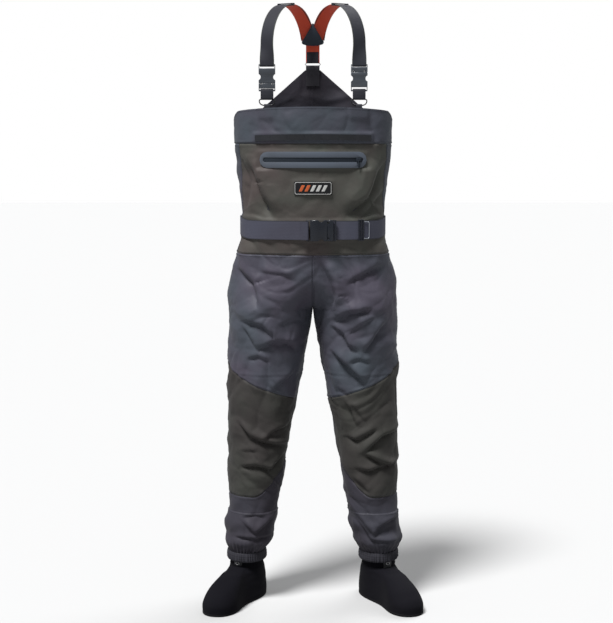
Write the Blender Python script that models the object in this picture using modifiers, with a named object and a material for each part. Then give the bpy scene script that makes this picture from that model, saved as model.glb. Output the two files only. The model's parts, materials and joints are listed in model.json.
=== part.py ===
"""Chest waders: a stocking-foot garment of sewn shell panels, neoprene booties, belt and braces.

Frame: metres, +Z up, origin on the ground between the feet, the wearer faces -Y.
"""

import math

import bmesh
import bpy
from mathutils import Matrix, Vector

# Cloth
WALL = 0.0025
GUARD_WALL = 0.0020
NEOPRENE = 0.0040
SEAM_GAP = 0.40 * WALL
SEAM_SHARE = 0.48 * WALL
CLEARANCE = 0.0003

# Torso, in metres above the ground
BODY_Y = 0.0235
FRONT_RADIUS = 0.370
FRONT_DEPTH = 0.125
CROTCH_Z = 0.822
WAIST_Z = 0.975
YOKE_Z = 1.272
CHEST_TOP_Z = 1.369
CHEST_SIDE_Z = 1.338
HIGH_BACK_Z = 1.478
HIGH_BACK_HALF = 0.0205
HIGH_BACK_SLOPE = 0.889
BIB_EDGE_TOP = 0.40
BIB_EDGE_WAIST = 0.485
# height, half width, back depth
TORSO = (
    (0.822, 0.239, 0.138),
    (0.870, 0.239, 0.150),
    (0.973, 0.217, 0.138),
    (1.023, 0.200, 0.120),
    (1.070, 0.197, 0.114),
    (1.124, 0.204, 0.113),
    (1.300, 0.218, 0.116),
    (1.500, 0.218, 0.116),
)

# Legs: height, centre x, half width, half depth, centre y from the body's
LEG = (
    (0.704, 0.126, 0.1145, 0.113, 0.004),
    (0.590, 0.138, 0.1040, 0.103, 0.002),
    (0.480, 0.150, 0.0950, 0.094, 0.000),
    (0.370, 0.159, 0.0850, 0.086, -0.002),
    (0.256, 0.168, 0.0740, 0.077, -0.004),
    (0.150, 0.183, 0.0500, 0.060, -0.006),
)
THIGH_END_INNER = 0.569
THIGH_END_OUTER = 0.676
KNEE_END_INNER = 0.395
KNEE_END_OUTER = 0.301
LEG_END_Z = 0.150
# Gravel guard: height, centre x, half width, half depth, centre y from the body's
GUARD = (
    (0.256, 0.168, 0.0775, 0.0810, -0.004),
    (0.215, 0.174, 0.0760, 0.0800, -0.005),
    (0.170, 0.181, 0.0690, 0.0750, -0.006),
    (0.139, 0.186, 0.0565, 0.0660, -0.006),
)
GUARD_END_Z = 0.139
HEM_HEIGHT = 0.0245
HEM_HALF_WIDTH = 0.0530
HEM_HALF_DEPTH = 0.0620
HEM_WALL = 0.0030
LEG_SIDES = 22

# Booties, in the foot's own frame: forward along the foot, side across it
ANKLE_X = 0.186
ANKLE_Y = -0.006
TOE_OUT = math.radians(27.0)
ANKLE_HALF_LENGTH = 0.052
ANKLE_HALF_WIDTH = 0.045
BOOTIE_TOP_Z = LEG_END_Z - SEAM_GAP
INSTEP_Z = 0.095
TOE_EDGE_Z = 0.022
SOLE_THICKNESS = 0.0075
FOOT_OUTLINE = (
    (0.205, 0.000),
    (0.190, 0.032),
    (0.150, 0.047),
    (0.080, 0.045),
    (0.000, 0.047),
    (-0.050, 0.035),
    (-0.078, 0.000),
    (-0.050, -0.035),
    (0.000, -0.047),
    (0.080, -0.041),
    (0.150, -0.049),
    (0.190, -0.034),
)
HOOK_HALF_WIDTH = 0.006
HOOK_HEIGHT = 0.008
HOOK_WIRE = 0.0010

# Webbing
STRAP_WIDTH = 0.038
STRAP_WEB = 0.0016
BELT_WIDTH = 0.050
BELT_WEB = 0.0020
BELT_FRONT_Z = 1.042
BELT_RISE = 0.009
BELT_LAY = 0.0022
KEEPER_RISE = 0.0026
KEEPER_RUN = (0.051, 0.033)
KEEPER_RAMP = 0.012

# Chest pocket
ZIP_Z = 1.229
WELT_LENGTH = 0.292
WELT_HEIGHT = 0.043
WELT_THICKNESS = 0.0012
ZIP_LENGTH = 0.272
ZIP_HEIGHT = 0.012
COIL_THICKNESS = 0.0016
SLIDER_LENGTH = 0.013
SLIDER_WIDTH = 0.010
SLIDER_HEIGHT = 0.0036
PULL_LENGTH = 0.021
PULL_HALF_WIDTH = 0.0030
PULL_THICKNESS = 0.0014
BAG_DEPTH = 0.170
BAG_THICKNESS = 0.003
GEAR_STRIP_Z = 1.289
GEAR_STRIP_LENGTH = 0.319
GEAR_STRIP_HEIGHT = 0.0155
GEAR_STRIP_THICKNESS = 0.0014
BADGE_Z = 1.154
BADGE_LENGTH = 0.101
BADGE_HEIGHT = 0.036
BADGE_THICKNESS = 0.0025

# Side release buckles: along, across and through the buckle
BUCKLE_END = 0.0040
BAR_THICKNESS = 0.0040
WIDE_SLOT = 0.0068
THIN_SLOT = 0.0034
FEMALE_SHARE = 0.70
BUCKLE_MARGIN = 0.0060
STRAP_BUCKLE_LENGTH = 0.071
STRAP_BUCKLE_WIDTH = STRAP_WIDTH + BUCKLE_MARGIN
STRAP_BUCKLE_THICKNESS = 0.0100
BELT_BUCKLE_LENGTH = 0.080
BELT_BUCKLE_WIDTH = BELT_WIDTH + BUCKLE_MARGIN
BELT_BUCKLE_THICKNESS = 0.0100
BELT_BUCKLE_START = -0.019
BUCKLE_LIFT = 0.0034
BUCKLE_WALL = 0.0045
BUCKLE_SKIN = 0.0018
ARM_WIDTH = 0.0030
ARM_ROOT = 0.0019
SLIP = 0.0004
KEEPER_PAST_BEND = 0.0021
KEEPER_SOLE = 0.0012
KEEPER_LENGTH = 0.016
KEEPER_BAR = 0.0022

# Braces
STRAP_X = 0.1225
STRAP_BACK_X = 0.012
STRAP_BACK_Y = BODY_Y + 0.1065
ARCH_TOP_Z = 1.646
RING_BAR_Z = 1.392
RING_DROP = 0.020
RING_HALF_WIDTH = STRAP_WIDTH / 2 + 0.0025
RING_WIRE = 0.0018
RING_SQUARE = 0.45
ANCHOR_WIDTH = 0.016
LOOP_CENTRES = 0.0200
LOOP_WIDTH = STRAP_WIDTH - 0.004
HAIRPIN = 0.0031
ADJUSTER_LENGTH = 0.017
ADJUSTER_BAR = 0.0022
PATCH_TOP_Z = ARCH_TOP_Z - 0.040
PATCH_BOTTOM_Z = ARCH_TOP_Z - 0.098
PATCH_HALF_WIDTH = 0.031
PATCH_THICKNESS = 0.0020
PATCH_HEM = 0.012
PATCH_STEP = 0.0011
PATCH_BOW = 0.10 * STRAP_WIDTH - 0.0014
GLIDE_Z = 1.493
GLIDE_HEIGHT = 0.0150
GLIDE_HALF_WIDTH = STRAP_WIDTH / 2 + 0.0045
GLIDE_WIRE = 0.0016

AXIS_Y = BODY_Y + FRONT_RADIUS - FRONT_DEPTH


# ---------------------------------------------------------------- scene and materials


def clear_scene():
    for item in list(bpy.data.objects):
        bpy.data.objects.remove(item, do_unlink=True)


def new_collection(name):
    collection = bpy.data.collections.new(name)
    bpy.context.scene.collection.children.link(collection)
    return collection


def make_material(name, colour, roughness, metallic=0.0):
    material = bpy.data.materials.new(name)
    material.use_nodes = True
    shader = material.node_tree.nodes["Principled BSDF"]
    shader.inputs["Base Color"].default_value = (*colour, 1.0)
    shader.inputs["Roughness"].default_value = roughness
    shader.inputs["Metallic"].default_value = metallic
    return material


def add_object(name, mesh, material):
    item = bpy.data.objects.new(name, mesh)
    PARTS.objects.link(item)
    if material:
        mesh.materials.clear()
        mesh.materials.append(material)
    return item


def add_pivot(name, place, rotation=None):
    pivot = bpy.data.objects.new(name, None)
    pivot.empty_display_size = 0.02
    pivot.location = place
    if rotation is not None:
        pivot.rotation_euler = rotation.to_euler()
    PARTS.objects.link(pivot)
    bpy.context.view_layer.update()
    return pivot


def hang_on(item, pivot):
    """Parents an object to a pivot and leaves it where it is."""
    item.parent = pivot
    item.matrix_parent_inverse = pivot.matrix_world.inverted()


# ---------------------------------------------------------------- meshes


def grid_mesh(name, rows, closed=False, flip=False):
    """An open surface through rows of points; closed joins each row's end to its start."""
    mesh = bmesh.new()
    made = [[mesh.verts.new(point) for point in row] for row in rows]
    count = len(rows[0])
    spans = count if closed else count - 1
    for upper, lower in zip(made, made[1:]):
        for column in range(spans):
            following = (column + 1) % count
            face = [upper[column], lower[column], lower[following], upper[following]]
            mesh.faces.new(face[::-1] if flip else face)
    data = bpy.data.meshes.new(name)
    mesh.to_mesh(data)
    mesh.free()
    data.shade_smooth()
    return data


def shell(name, rows, material, wall, closed=False, flip=False, offset=-1.0):
    item = add_object(name, grid_mesh(name, rows, closed, flip), material)
    solid = item.modifiers.new("Wall", "SOLIDIFY")
    solid.thickness = wall
    solid.offset = offset
    return item


def box_mesh(name, low, high, bevel=0.0):
    mesh = bmesh.new()
    bmesh.ops.create_cube(mesh, size=1.0)
    size = Vector(high) - Vector(low)
    centre = (Vector(high) + Vector(low)) / 2
    bmesh.ops.scale(mesh, vec=size, verts=mesh.verts)
    bmesh.ops.translate(mesh, vec=centre, verts=mesh.verts)
    if bevel:
        bmesh.ops.bevel(mesh, geom=mesh.edges[:], offset=bevel, segments=1, affect="EDGES")
    data = bpy.data.meshes.new(name)
    mesh.to_mesh(data)
    mesh.free()
    return data


def cylinder_mesh(name, radius, length, centre, segments=24):
    """A cylinder along the local third axis."""
    mesh = bmesh.new()
    bmesh.ops.create_cone(mesh, cap_ends=True, segments=segments, radius1=radius,
                          radius2=radius, depth=length)
    bmesh.ops.translate(mesh, vec=centre, verts=mesh.verts)
    data = bpy.data.meshes.new(name)
    mesh.to_mesh(data)
    mesh.free()
    return data


def add_cutter(name, mesh, place):
    cutter = bpy.data.objects.new(name, mesh)
    cutter.matrix_world = place
    cutter.display_type = "WIRE"
    cutter.hide_render = True
    CUTTERS.objects.link(cutter)
    return cutter


def combine(item, tool_mesh, operation, place):
    """Cuts or joins a mesh, given in the same local frame, into an object."""
    tool = add_cutter(f"{item.name}_{operation.lower()}", tool_mesh, place)
    change = item.modifiers.new(operation.title(), "BOOLEAN")
    change.operation = operation
    change.object = tool


def placed(name, mesh, material, place):
    item = add_object(name, mesh, material)
    item.matrix_world = place
    return item


def bent_wire(name, points, radius, material, place, cyclic=False):
    curve = bpy.data.curves.new(name, "CURVE")
    curve.dimensions = "3D"
    curve.bevel_depth = radius
    curve.bevel_resolution = 2
    curve.use_fill_caps = not cyclic
    spline = curve.splines.new("POLY")
    spline.points.add(len(points) - 1)
    for slot, point in zip(spline.points, points):
        slot.co = (*point, 1.0)
    spline.use_cyclic_u = cyclic
    curve.materials.append(material)
    item = bpy.data.objects.new(name, curve)
    item.matrix_world = place
    PARTS.objects.link(item)
    return item


def flat_plate(name, outlines, thickness, material, place):
    """A 2D outline, with any holes in it, extruded either side of its own plane."""
    curve = bpy.data.curves.new(name, "CURVE")
    curve.dimensions = "2D"
    curve.fill_mode = "BOTH"
    curve.extrude = thickness / 2
    for outline in outlines:
        spline = curve.splines.new("POLY")
        spline.points.add(len(outline) - 1)
        for slot, (x, y) in zip(spline.points, outline):
            slot.co = (x, y, 0.0, 1.0)
        spline.use_cyclic_u = True
    curve.materials.append(material)
    item = bpy.data.objects.new(name, curve)
    item.matrix_world = place
    PARTS.objects.link(item)
    return item


# ---------------------------------------------------------------- body surface


def smooth(share):
    share = min(max(share, 0.0), 1.0)
    return share * share * (3.0 - 2.0 * share)


def mix(start, end, share):
    return start + (end - start) * share


def at_height(stations, height):
    """The stations' values at a height, on a curve that passes through each of them."""
    rows = sorted(stations)
    height = min(max(height, rows[0][0]), rows[-1][0])
    last = len(rows) - 1
    index = max(i for i in range(last) if rows[i][0] <= height)
    low, high = rows[index], rows[index + 1]
    before, after = rows[max(index - 1, 0)], rows[min(index + 2, last)]
    span = high[0] - low[0]
    share = (height - low[0]) / span
    values = []
    for k in range(1, len(low)):
        leave = (high[k] - before[k]) / (high[0] - before[0]) * span
        arrive = (after[k] - low[k]) / (after[0] - low[0]) * span
        square, cube = share * share, share**3
        values.append(
            (2 * cube - 3 * square + 1) * low[k]
            + (cube - 2 * square + share) * leave
            + (3 * square - 2 * cube) * high[k]
            + (cube - square) * arrive
        )
    return values


def quarter(half_width, depth):
    """The broad arc's angle and the side arc's radius of one quarter of a four-centre oval."""
    rise = FRONT_RADIUS - depth
    small = (FRONT_RADIUS**2 - half_width**2 - rise**2) / (2 * (FRONT_RADIUS - half_width))
    return math.atan2(half_width - small, rise), small


def quarter_point(half_width, depth, share, offset):
    """A point a share of the way from the middle of the front to the side, front at -y."""
    turn, small = quarter(half_width, depth)
    broad = FRONT_RADIUS * turn
    length = share * (broad + small * (math.pi / 2 - turn))
    if length <= broad:
        angle = length / FRONT_RADIUS
        reach = FRONT_RADIUS + offset
        return reach * math.sin(angle), FRONT_RADIUS - depth - reach * math.cos(angle)
    angle = turn + (length - broad) / small
    reach = small + offset
    return half_width - small + reach * math.sin(angle), -reach * math.cos(angle)


def torso_point(height, share, offset=0.0):
    """share 0 is the middle of the front, 0.5 the side at +x, 1 the back, 1.5 the side at -x."""
    half_width, back_depth = at_height(TORSO, height)
    around = share % 2.0
    side = 1.0 if around <= 1.0 else -1.0
    around = around if around <= 1.0 else 2.0 - around
    if around <= 0.5:
        x, y = quarter_point(half_width, FRONT_DEPTH, around * 2.0, offset)
    else:
        x, y = quarter_point(half_width, back_depth, (1.0 - around) * 2.0, offset)
        y = -y
    return Vector((side * x, BODY_Y + y, height))


def seam_share(height):
    """The share of the way round that a seam's gap takes."""
    half_width, _ = at_height(TORSO, height)
    turn, small = quarter(half_width, FRONT_DEPTH)
    return SEAM_GAP / 4 / (FRONT_RADIUS * turn + small * (math.pi / 2 - turn))


def leg_stations():
    half_width, back_depth = at_height(TORSO, CROTCH_Z)
    half = (half_width - SEAM_GAP / 2) / 2
    depth = (FRONT_DEPTH + back_depth) / 2
    return ((CROTCH_Z, SEAM_GAP / 2 + half, half, depth, depth - FRONT_DEPTH), *LEG)


def oval(section, angle, height):
    centre_x, half_width, half_depth, centre_y = section
    x = centre_x + half_width * math.cos(angle)
    y = BODY_Y + centre_y + half_depth * math.sin(angle)
    return Vector((x, y, height))


def leg_point(height, share):
    """share 0 is the front middle or the inseam, 0.5 the outer side, 1 the back middle or the inseam."""
    if height <= CROTCH_Z:
        return oval(at_height(leg_stations(), height), math.pi * (1 + 2 * share), height)
    rise = (height - CROTCH_Z) / (WAIST_Z - CROTCH_Z)
    cut = math.acos(max(0.0, min(1.0, 1.0 - rise)))
    half_width, back_depth = at_height(TORSO, height)
    half = (half_width - SEAM_GAP / 2) / (1.0 + math.cos(cut))
    angle = math.pi + cut + share * 2 * (math.pi - cut)
    depth = (FRONT_DEPTH + back_depth) / 2
    section = (half_width - half, half, depth, depth - FRONT_DEPTH)
    lower = oval(section, angle, height)
    upper = torso_point(height, share)
    upper.x = SEAM_GAP / 2 + upper.x * (1 - SEAM_GAP / 2 / half_width)
    point = lower.lerp(upper, smooth(rise))
    point.x = max(point.x, SEAM_GAP / 2)
    return point


def arc_point(along, height, out=0.0):
    """A point on the chest's front, a length along from its middle and a distance out from it."""
    angle = along / FRONT_RADIUS
    reach = FRONT_RADIUS + out
    return Vector((reach * math.sin(angle), AXIS_Y - reach * math.cos(angle), height))


def arc_frame(along, height, out=0.0):
    """A frame on the chest's front: first axis along it, second up, third out."""
    angle = along / FRONT_RADIUS
    turn = Matrix.Rotation(angle, 4, "Z") @ Matrix.Rotation(math.pi / 2, 4, "X")
    return Matrix.Translation(arc_point(along, height, out)) @ turn


def spread(start, end, count):
    return [mix(start, end, i / (count - 1)) for i in range(count)]


# ---------------------------------------------------------------- torso panels


def bib_edge(height):
    return mix(BIB_EDGE_WAIST, BIB_EDGE_TOP, (height - WAIST_Z) / (YOKE_Z - WAIST_Z))


def chest_top(share):
    """The height of the chest's top edge: a shallow bow that drops at the side seams."""
    fall = (CHEST_TOP_Z - CHEST_SIDE_Z) * (0.45 * (share * 2) ** 2 + 0.55 * smooth(share * 10 - 4))
    return CHEST_TOP_Z - fall


def front_yoke():
    low = YOKE_Z + SEAM_GAP / 2
    rows = []
    for level in spread(1.0, 0.0, 5):
        row = []
        for share in spread(-0.5, 0.5, 27):
            edge = share * (1 - 4 * seam_share(low))
            row.append(torso_point(mix(low, chest_top(abs(edge)), level), edge))
        rows.append(row)
    shell("front_yoke", rows, CHARCOAL, WALL)


def front_bib():
    rows = []
    for height in spread(YOKE_Z - SEAM_GAP / 2, WAIST_Z + SEAM_GAP / 2, 11):
        edge = bib_edge(height)
        rows.append([torso_point(height, share) for share in spread(-edge, edge, 19)])
    shell("front_bib", rows, OLIVE, WALL)


def back_panel():
    rows = []
    for height in spread(YOKE_Z - SEAM_GAP / 2, WAIST_Z + SEAM_GAP / 2, 11):
        edge = bib_edge(height) + 2 * seam_share(height)
        rows.append([torso_point(height, share) for share in spread(edge, 2 - edge, 21)])
    shell("back_panel", rows, CHARCOAL, WALL)


def high_back():
    low = YOKE_Z + SEAM_GAP / 2
    edge = 0.5 + 2 * seam_share(low)
    rows = []
    for level in spread(1.0, 0.0, 6):
        row = []
        for share in spread(edge, 2 - edge, 25):
            across = abs(torso_point(low, share).x) - HIGH_BACK_HALF
            top = max(HIGH_BACK_Z - HIGH_BACK_SLOPE * max(across, 0.0), CHEST_SIDE_Z)
            row.append(torso_point(mix(low, top, level), share))
        rows.append(row)
    shell("high_back", rows, CHARCOAL_DARK, WALL)


# ---------------------------------------------------------------- legs


def leg_panel(name, side, shares, top, bottom, levels, material):
    """A panel of one leg between two seams, each a height for a share of the way round."""
    rows = []
    for level in spread(0.0, 1.0, levels):
        row = []
        for share in shares:
            point = leg_point(mix(top(share), bottom(share), level), share)
            row.append(Vector((side * point.x, point.y, point.z)))
        rows.append(row)
    shell(name, rows, material, WALL, flip=side < 0)


def thigh_end(share):
    return mix(THIGH_END_INNER, THIGH_END_OUTER, (share * 2) ** 1.5)


def knee_end(share):
    return mix(KNEE_END_INNER, KNEE_END_OUTER, smooth(share * 4))


def leg(side, word):
    half = SEAM_GAP / 2
    edge = SEAM_SHARE
    front = spread(edge, 0.5 - edge, 10)
    back = spread(0.5 + edge, 1.0 - edge, 10)
    leg_panel(f"thigh_front_{word}", side, front, lambda s: WAIST_Z - half,
              lambda s: thigh_end(s) + half, 11, CHARCOAL)
    leg_panel(f"knee_panel_{word}", side, front, lambda s: thigh_end(s) - half,
              lambda s: knee_end(s) + half, 6, OLIVE_DARK)
    leg_panel(f"shin_panel_{word}", side, front, lambda s: knee_end(s) - half,
              lambda s: LEG_END_Z, 5, CHARCOAL_DARK)
    leg_panel(f"back_leg_{word}", side, back, lambda s: WAIST_Z - half,
              lambda s: LEG_END_Z, 16, CHARCOAL)


def gravel_guard(side, word):
    rows = []
    for height in spread(GUARD[0][0], GUARD_END_Z, 6):
        section = at_height(GUARD, height)
        row = [oval(section, math.tau * i / LEG_SIDES, height) for i in range(LEG_SIDES)]
        rows.append([Vector((side * p.x, p.y, p.z)) for p in row])
    shell(f"gravel_guard_{word}", rows, CHARCOAL_DARK, GUARD_WALL, closed=True, flip=side < 0)


def hem_elastic(side, word):
    rows = []
    top = GUARD_END_Z - SEAM_GAP
    section = (ANKLE_X, HEM_HALF_WIDTH, HEM_HALF_DEPTH, ANKLE_Y)
    for height in (top, top - HEM_HEIGHT):
        row = [oval(section, math.tau * i / LEG_SIDES, height) for i in range(LEG_SIDES)]
        rows.append([Vector((side * p.x, p.y, p.z)) for p in row])
    shell(f"hem_elastic_{word}", rows, RIB_BLACK, HEM_WALL, closed=True, flip=side < 0)


# ---------------------------------------------------------------- booties


def foot_outline(steps=2):
    """The sole's outline on a smooth closed curve through the chosen points."""
    count = len(FOOT_OUTLINE)
    points = []
    for index in range(count):
        p0, p1, p2, p3 = (Vector(FOOT_OUTLINE[(index + k) % count]) for k in (-1, 0, 1, 2))
        for step in range(steps):
            t = step / steps
            point = (2 * p1 + (p2 - p0) * t + (2 * p0 - 5 * p1 + 4 * p2 - p3) * t * t
                     + (3 * p1 - p0 - 3 * p2 + p3) * t**3) / 2
            points.append((point.x, point.y))
    return points


def foot_frame(side):
    """Forward along the foot is the first axis, outwards the second."""
    forward = Vector((side * math.sin(TOE_OUT), -math.cos(TOE_OUT), 0.0))
    outward = Vector((side * math.cos(TOE_OUT), math.sin(TOE_OUT), 0.0))
    origin = Vector((side * ANKLE_X, BODY_Y + ANKLE_Y, 0.0))
    return origin, forward, outward


def foot_place(side, forward_by, outward_by, height):
    origin, forward, outward = foot_frame(side)
    return origin + forward * forward_by + outward * outward_by + Vector((0, 0, height))


def ankle_point(direction):
    scale = 1 / math.hypot(direction[0] / ANKLE_HALF_LENGTH, direction[1] / ANKLE_HALF_WIDTH)
    return direction[0] * scale, direction[1] * scale


def bootie_upper(side, word):
    bottom = SOLE_THICKNESS + CLEARANCE
    columns = []
    for point in foot_outline():
        reach = math.hypot(*point)
        ankle = ankle_point((point[0] / reach, point[1] / reach))
        column = [(*ankle, height) for height in spread(BOOTIE_TOP_Z, INSTEP_Z, 3)]
        for angle in spread(0.0, math.pi / 2, 7)[1:]:
            out = math.sin(angle) ** 1.25
            drop = math.cos(angle) ** 1.25
            column.append((mix(ankle[0], point[0], out), mix(ankle[1], point[1], out),
                           mix(TOE_EDGE_Z, INSTEP_Z, drop)))
        column.append((*point, bottom))
        columns.append([foot_place(side, *p) for p in column])
    rows = [list(row) for row in zip(*columns)]
    shell(f"bootie_upper_{word}", rows, NEOPRENE_BLACK, NEOPRENE, closed=True, flip=side < 0)


def bootie_sole(side, word):
    outline = [foot_place(side, *point, 0.0).to_2d() for point in foot_outline()]
    place = Matrix.Translation((0.0, 0.0, SOLE_THICKNESS / 2))
    flat_plate(f"bootie_sole_{word}", [outline], SOLE_THICKNESS, SOLE_BLACK, place)


def lace_hook(side, word):
    top = GUARD_END_Z - SEAM_GAP - HEM_HEIGHT - 0.003
    out = ANKLE_HALF_LENGTH + HOOK_WIRE + 0.0010
    points = []
    for across, drop in ((-1, 0), (-1, 1), (1, 1), (1, 0)):
        points.append(foot_place(side, out, across * HOOK_HALF_WIDTH, top - drop * HOOK_HEIGHT))
    bent_wire(f"lace_hook_{word}", points, HOOK_WIRE, STEEL, Matrix.Identity(4), cyclic=True)


# ---------------------------------------------------------------- chest pocket


def stadium(length, height, straight=12, turn=6):
    """Points round a flat shape with round ends, the straight sides divided as well."""
    radius = height / 2
    half = length / 2 - radius
    points = []
    for centre, start in ((half, -math.pi / 2), (-half, math.pi / 2)):
        for step in range(turn + 1):
            angle = start + math.pi * step / turn
            points.append((centre + radius * math.cos(angle), radius * math.sin(angle)))
        for step in range(1, straight):
            points.append((centre * (1 - 2 * step / straight), radius * math.sin(start + math.pi)))
    return points


def zip_welt():
    outer = stadium(WELT_LENGTH, WELT_HEIGHT)
    inner = stadium(ZIP_LENGTH, ZIP_HEIGHT)
    out = CLEARANCE + WELT_THICKNESS
    rows = [[arc_point(x, ZIP_Z + z, out) for x, z in ring] for ring in (outer, inner)]
    shell("chest_zip_welt", rows, WELT_GREY, WELT_THICKNESS, closed=True)


def zip_coil():
    half = ZIP_LENGTH / 2 - ZIP_HEIGHT / 2
    low = ZIP_HEIGHT / 2 - 2 * CLEARANCE
    rows = []
    for height in (low, -low):
        rows.append([arc_point(x, ZIP_Z + height, CLEARANCE + COIL_THICKNESS)
                     for x in spread(-half, half, 25)])
    shell("chest_zip_coil", rows, ZIP_BLACK, COIL_THICKNESS)


def zip_slider():
    """The slider's body with a bridge that holds the pull; it travels round the chest's own arc."""
    pivot = add_pivot("chest_zip_axis", (0.0, AXIS_Y, ZIP_Z))
    along = ZIP_LENGTH / 2 - ZIP_HEIGHT / 2 - SLIDER_LENGTH / 2 - 0.001
    base = 2 * CLEARANCE + COIL_THICKNESS
    place = arc_frame(along, ZIP_Z, base)
    low = (-SLIDER_LENGTH / 2, -SLIDER_WIDTH / 2, 0.0)
    high = (SLIDER_LENGTH / 2, SLIDER_WIDTH / 2, SLIDER_HEIGHT)
    slider = placed("chest_zip_slider", box_mesh("slider", low, high, 0.0008), ZIP_BLACK, place)
    foot, half, top = 0.0033, 0.0009, SLIDER_HEIGHT + 0.0040
    arch = box_mesh("arch", (-half, -foot, SLIDER_HEIGHT - 0.001), (half, foot, top))
    window = box_mesh("window", (-0.01, -foot + 0.0012, SLIDER_HEIGHT + 0.0001),
                      (0.01, foot - 0.0012, top - 0.0011))
    combine(slider, arch, "UNION", place)
    combine(slider, window, "DIFFERENCE", place)
    hang_on(slider, pivot)
    hinge_out = SLIDER_HEIGHT + 0.0015
    zip_pull(along, base + hinge_out, pivot)


def zip_pull(along, out, parent):
    """A flat tab whose end bar lies under the slider's bridge."""
    frame = arc_frame(along, ZIP_Z, out)
    hinge = add_pivot("chest_zip_pull_axis", frame.translation, frame.to_3x3())
    hang_on(hinge, parent)
    bpy.context.view_layer.update()
    bar, hole = 0.0007, 0.0060
    tab = [(-PULL_HALF_WIDTH, bar), (-PULL_HALF_WIDTH, -PULL_LENGTH + 0.002),
           (-PULL_HALF_WIDTH + 0.0015, -PULL_LENGTH), (PULL_HALF_WIDTH - 0.0015, -PULL_LENGTH),
           (PULL_HALF_WIDTH, -PULL_LENGTH + 0.002), (PULL_HALF_WIDTH, bar)]
    eye = [(-0.0016, -bar), (0.0016, -bar), (0.0016, -hole), (-0.0016, -hole)]
    pull = flat_plate("chest_zip_pull", [tab, eye], PULL_THICKNESS, ZIP_BLACK, frame)
    hang_on(pull, hinge)


def pocket_bag():
    """A flat bag sewn behind the zip, against the inside of the bib."""
    half = ZIP_LENGTH / 2 - 0.004
    inside = -WALL - 2 * CLEARANCE
    rows = []
    for height in spread(ZIP_Z + ZIP_HEIGHT, ZIP_Z - BAG_DEPTH, 4):
        rows.append([arc_point(x, height, inside) for x in spread(-half, half, 15)])
    shell("chest_pocket_bag", rows, LINING, BAG_THICKNESS)


def gear_strip():
    half = GEAR_STRIP_LENGTH / 2
    rows = []
    for height in (GEAR_STRIP_HEIGHT / 2, -GEAR_STRIP_HEIGHT / 2):
        rows.append([arc_point(x, GEAR_STRIP_Z + height, CLEARANCE + GEAR_STRIP_THICKNESS)
                     for x in spread(-half, half, 25)])
    shell("gear_loop_strip", rows, WEB_BLACK, GEAR_STRIP_THICKNESS)


def badge():
    half = BADGE_LENGTH / 2
    rows = []
    for height in (BADGE_HEIGHT / 2, -BADGE_HEIGHT / 2):
        rows.append([arc_point(x, BADGE_Z + height, CLEARANCE + BADGE_THICKNESS)
                     for x in spread(-half, half, 13)])
    shell("chest_badge", rows, BADGE_BLACK, BADGE_THICKNESS)


# ---------------------------------------------------------------- side release buckles


def buckle_female(name, place, length, width, thickness, web, material):
    """The socket: a bar for the webbing at its start, a hollow body open at its far end."""
    socket = length * FEMALE_SHARE
    half, thick, thin = width / 2, thickness / 2, BAR_THICKNESS / 2
    body_start = BUCKLE_END + WIDE_SLOT
    inner = half - BUCKLE_WALL
    item = placed(name, box_mesh(name, (0, -half, -thin), (socket, half, thin), 0.0008),
                  material, place)
    block = box_mesh("block", (body_start, -half, -thick), (socket, half, thick), 0.0012)
    slot = box_mesh("slot", (BUCKLE_END, -web / 2 - 0.001, -thick), (body_start, web / 2 + 0.001, thick))
    hollow = box_mesh("hollow", (body_start + 0.005, -inner, -thick + BUCKLE_SKIN),
                      (socket + 0.01, inner, thick - BUCKLE_SKIN))
    combine(item, block, "UNION", place)
    combine(item, slot, "DIFFERENCE", place)
    combine(item, hollow, "DIFFERENCE", place)
    scoop = socket - 0.016
    for sign in (-1, 1):
        notch = cylinder_mesh("notch", 0.0085, 0.03, (scoop, sign * (half + 0.003), 0.0))
        combine(item, notch, "DIFFERENCE", place)
    return item


def buckle_male(name, place, length, width, thickness, web, material):
    """The plug: a shoulder block, a bar for the webbing and a middle tongue that guides it."""
    socket = length * FEMALE_SHARE
    half, thick, thin = width / 2, thickness / 2, BAR_THICKNESS / 2
    inner = half - BUCKLE_WALL
    start = socket + SLIP
    slot_end = length - BUCKLE_END
    item = placed(name, box_mesh(name, (start, -half, -thin), (length, half, thin), 0.0008),
                  material, place)
    shoulder = box_mesh("shoulder", (start, -half, -thick), (slot_end - THIN_SLOT, half, thick), 0.0012)
    reach = thick - BUCKLE_SKIN - SLIP
    tongue = box_mesh("tongue", (socket - 0.026, -0.0028, -reach), (start + 0.002, 0.0028, reach))
    slot = box_mesh("slot", (slot_end - THIN_SLOT, -web / 2 - 0.001, -thick),
                    (slot_end, web / 2 + 0.001, thick))
    combine(item, shoulder, "UNION", place)
    combine(item, tongue, "UNION", place)
    combine(item, slot, "DIFFERENCE", place)
    root = start + ARM_ROOT + 2 * SLIP
    for sign in (-1, 1):
        across = sign * (inner - ARM_ROOT - 2 * SLIP)
        pocket = cylinder_mesh("pocket", ARM_ROOT + SLIP, 0.03, (root, across, 0.0))
        mouth = box_mesh("mouth", (start - 0.01, across - ARM_ROOT - SLIP, -thick - 0.001),
                         (root, across + ARM_ROOT + SLIP, thick + 0.001))
        combine(item, pocket, "DIFFERENCE", place)
        combine(item, mouth, "DIFFERENCE", place)
    return item


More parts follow.
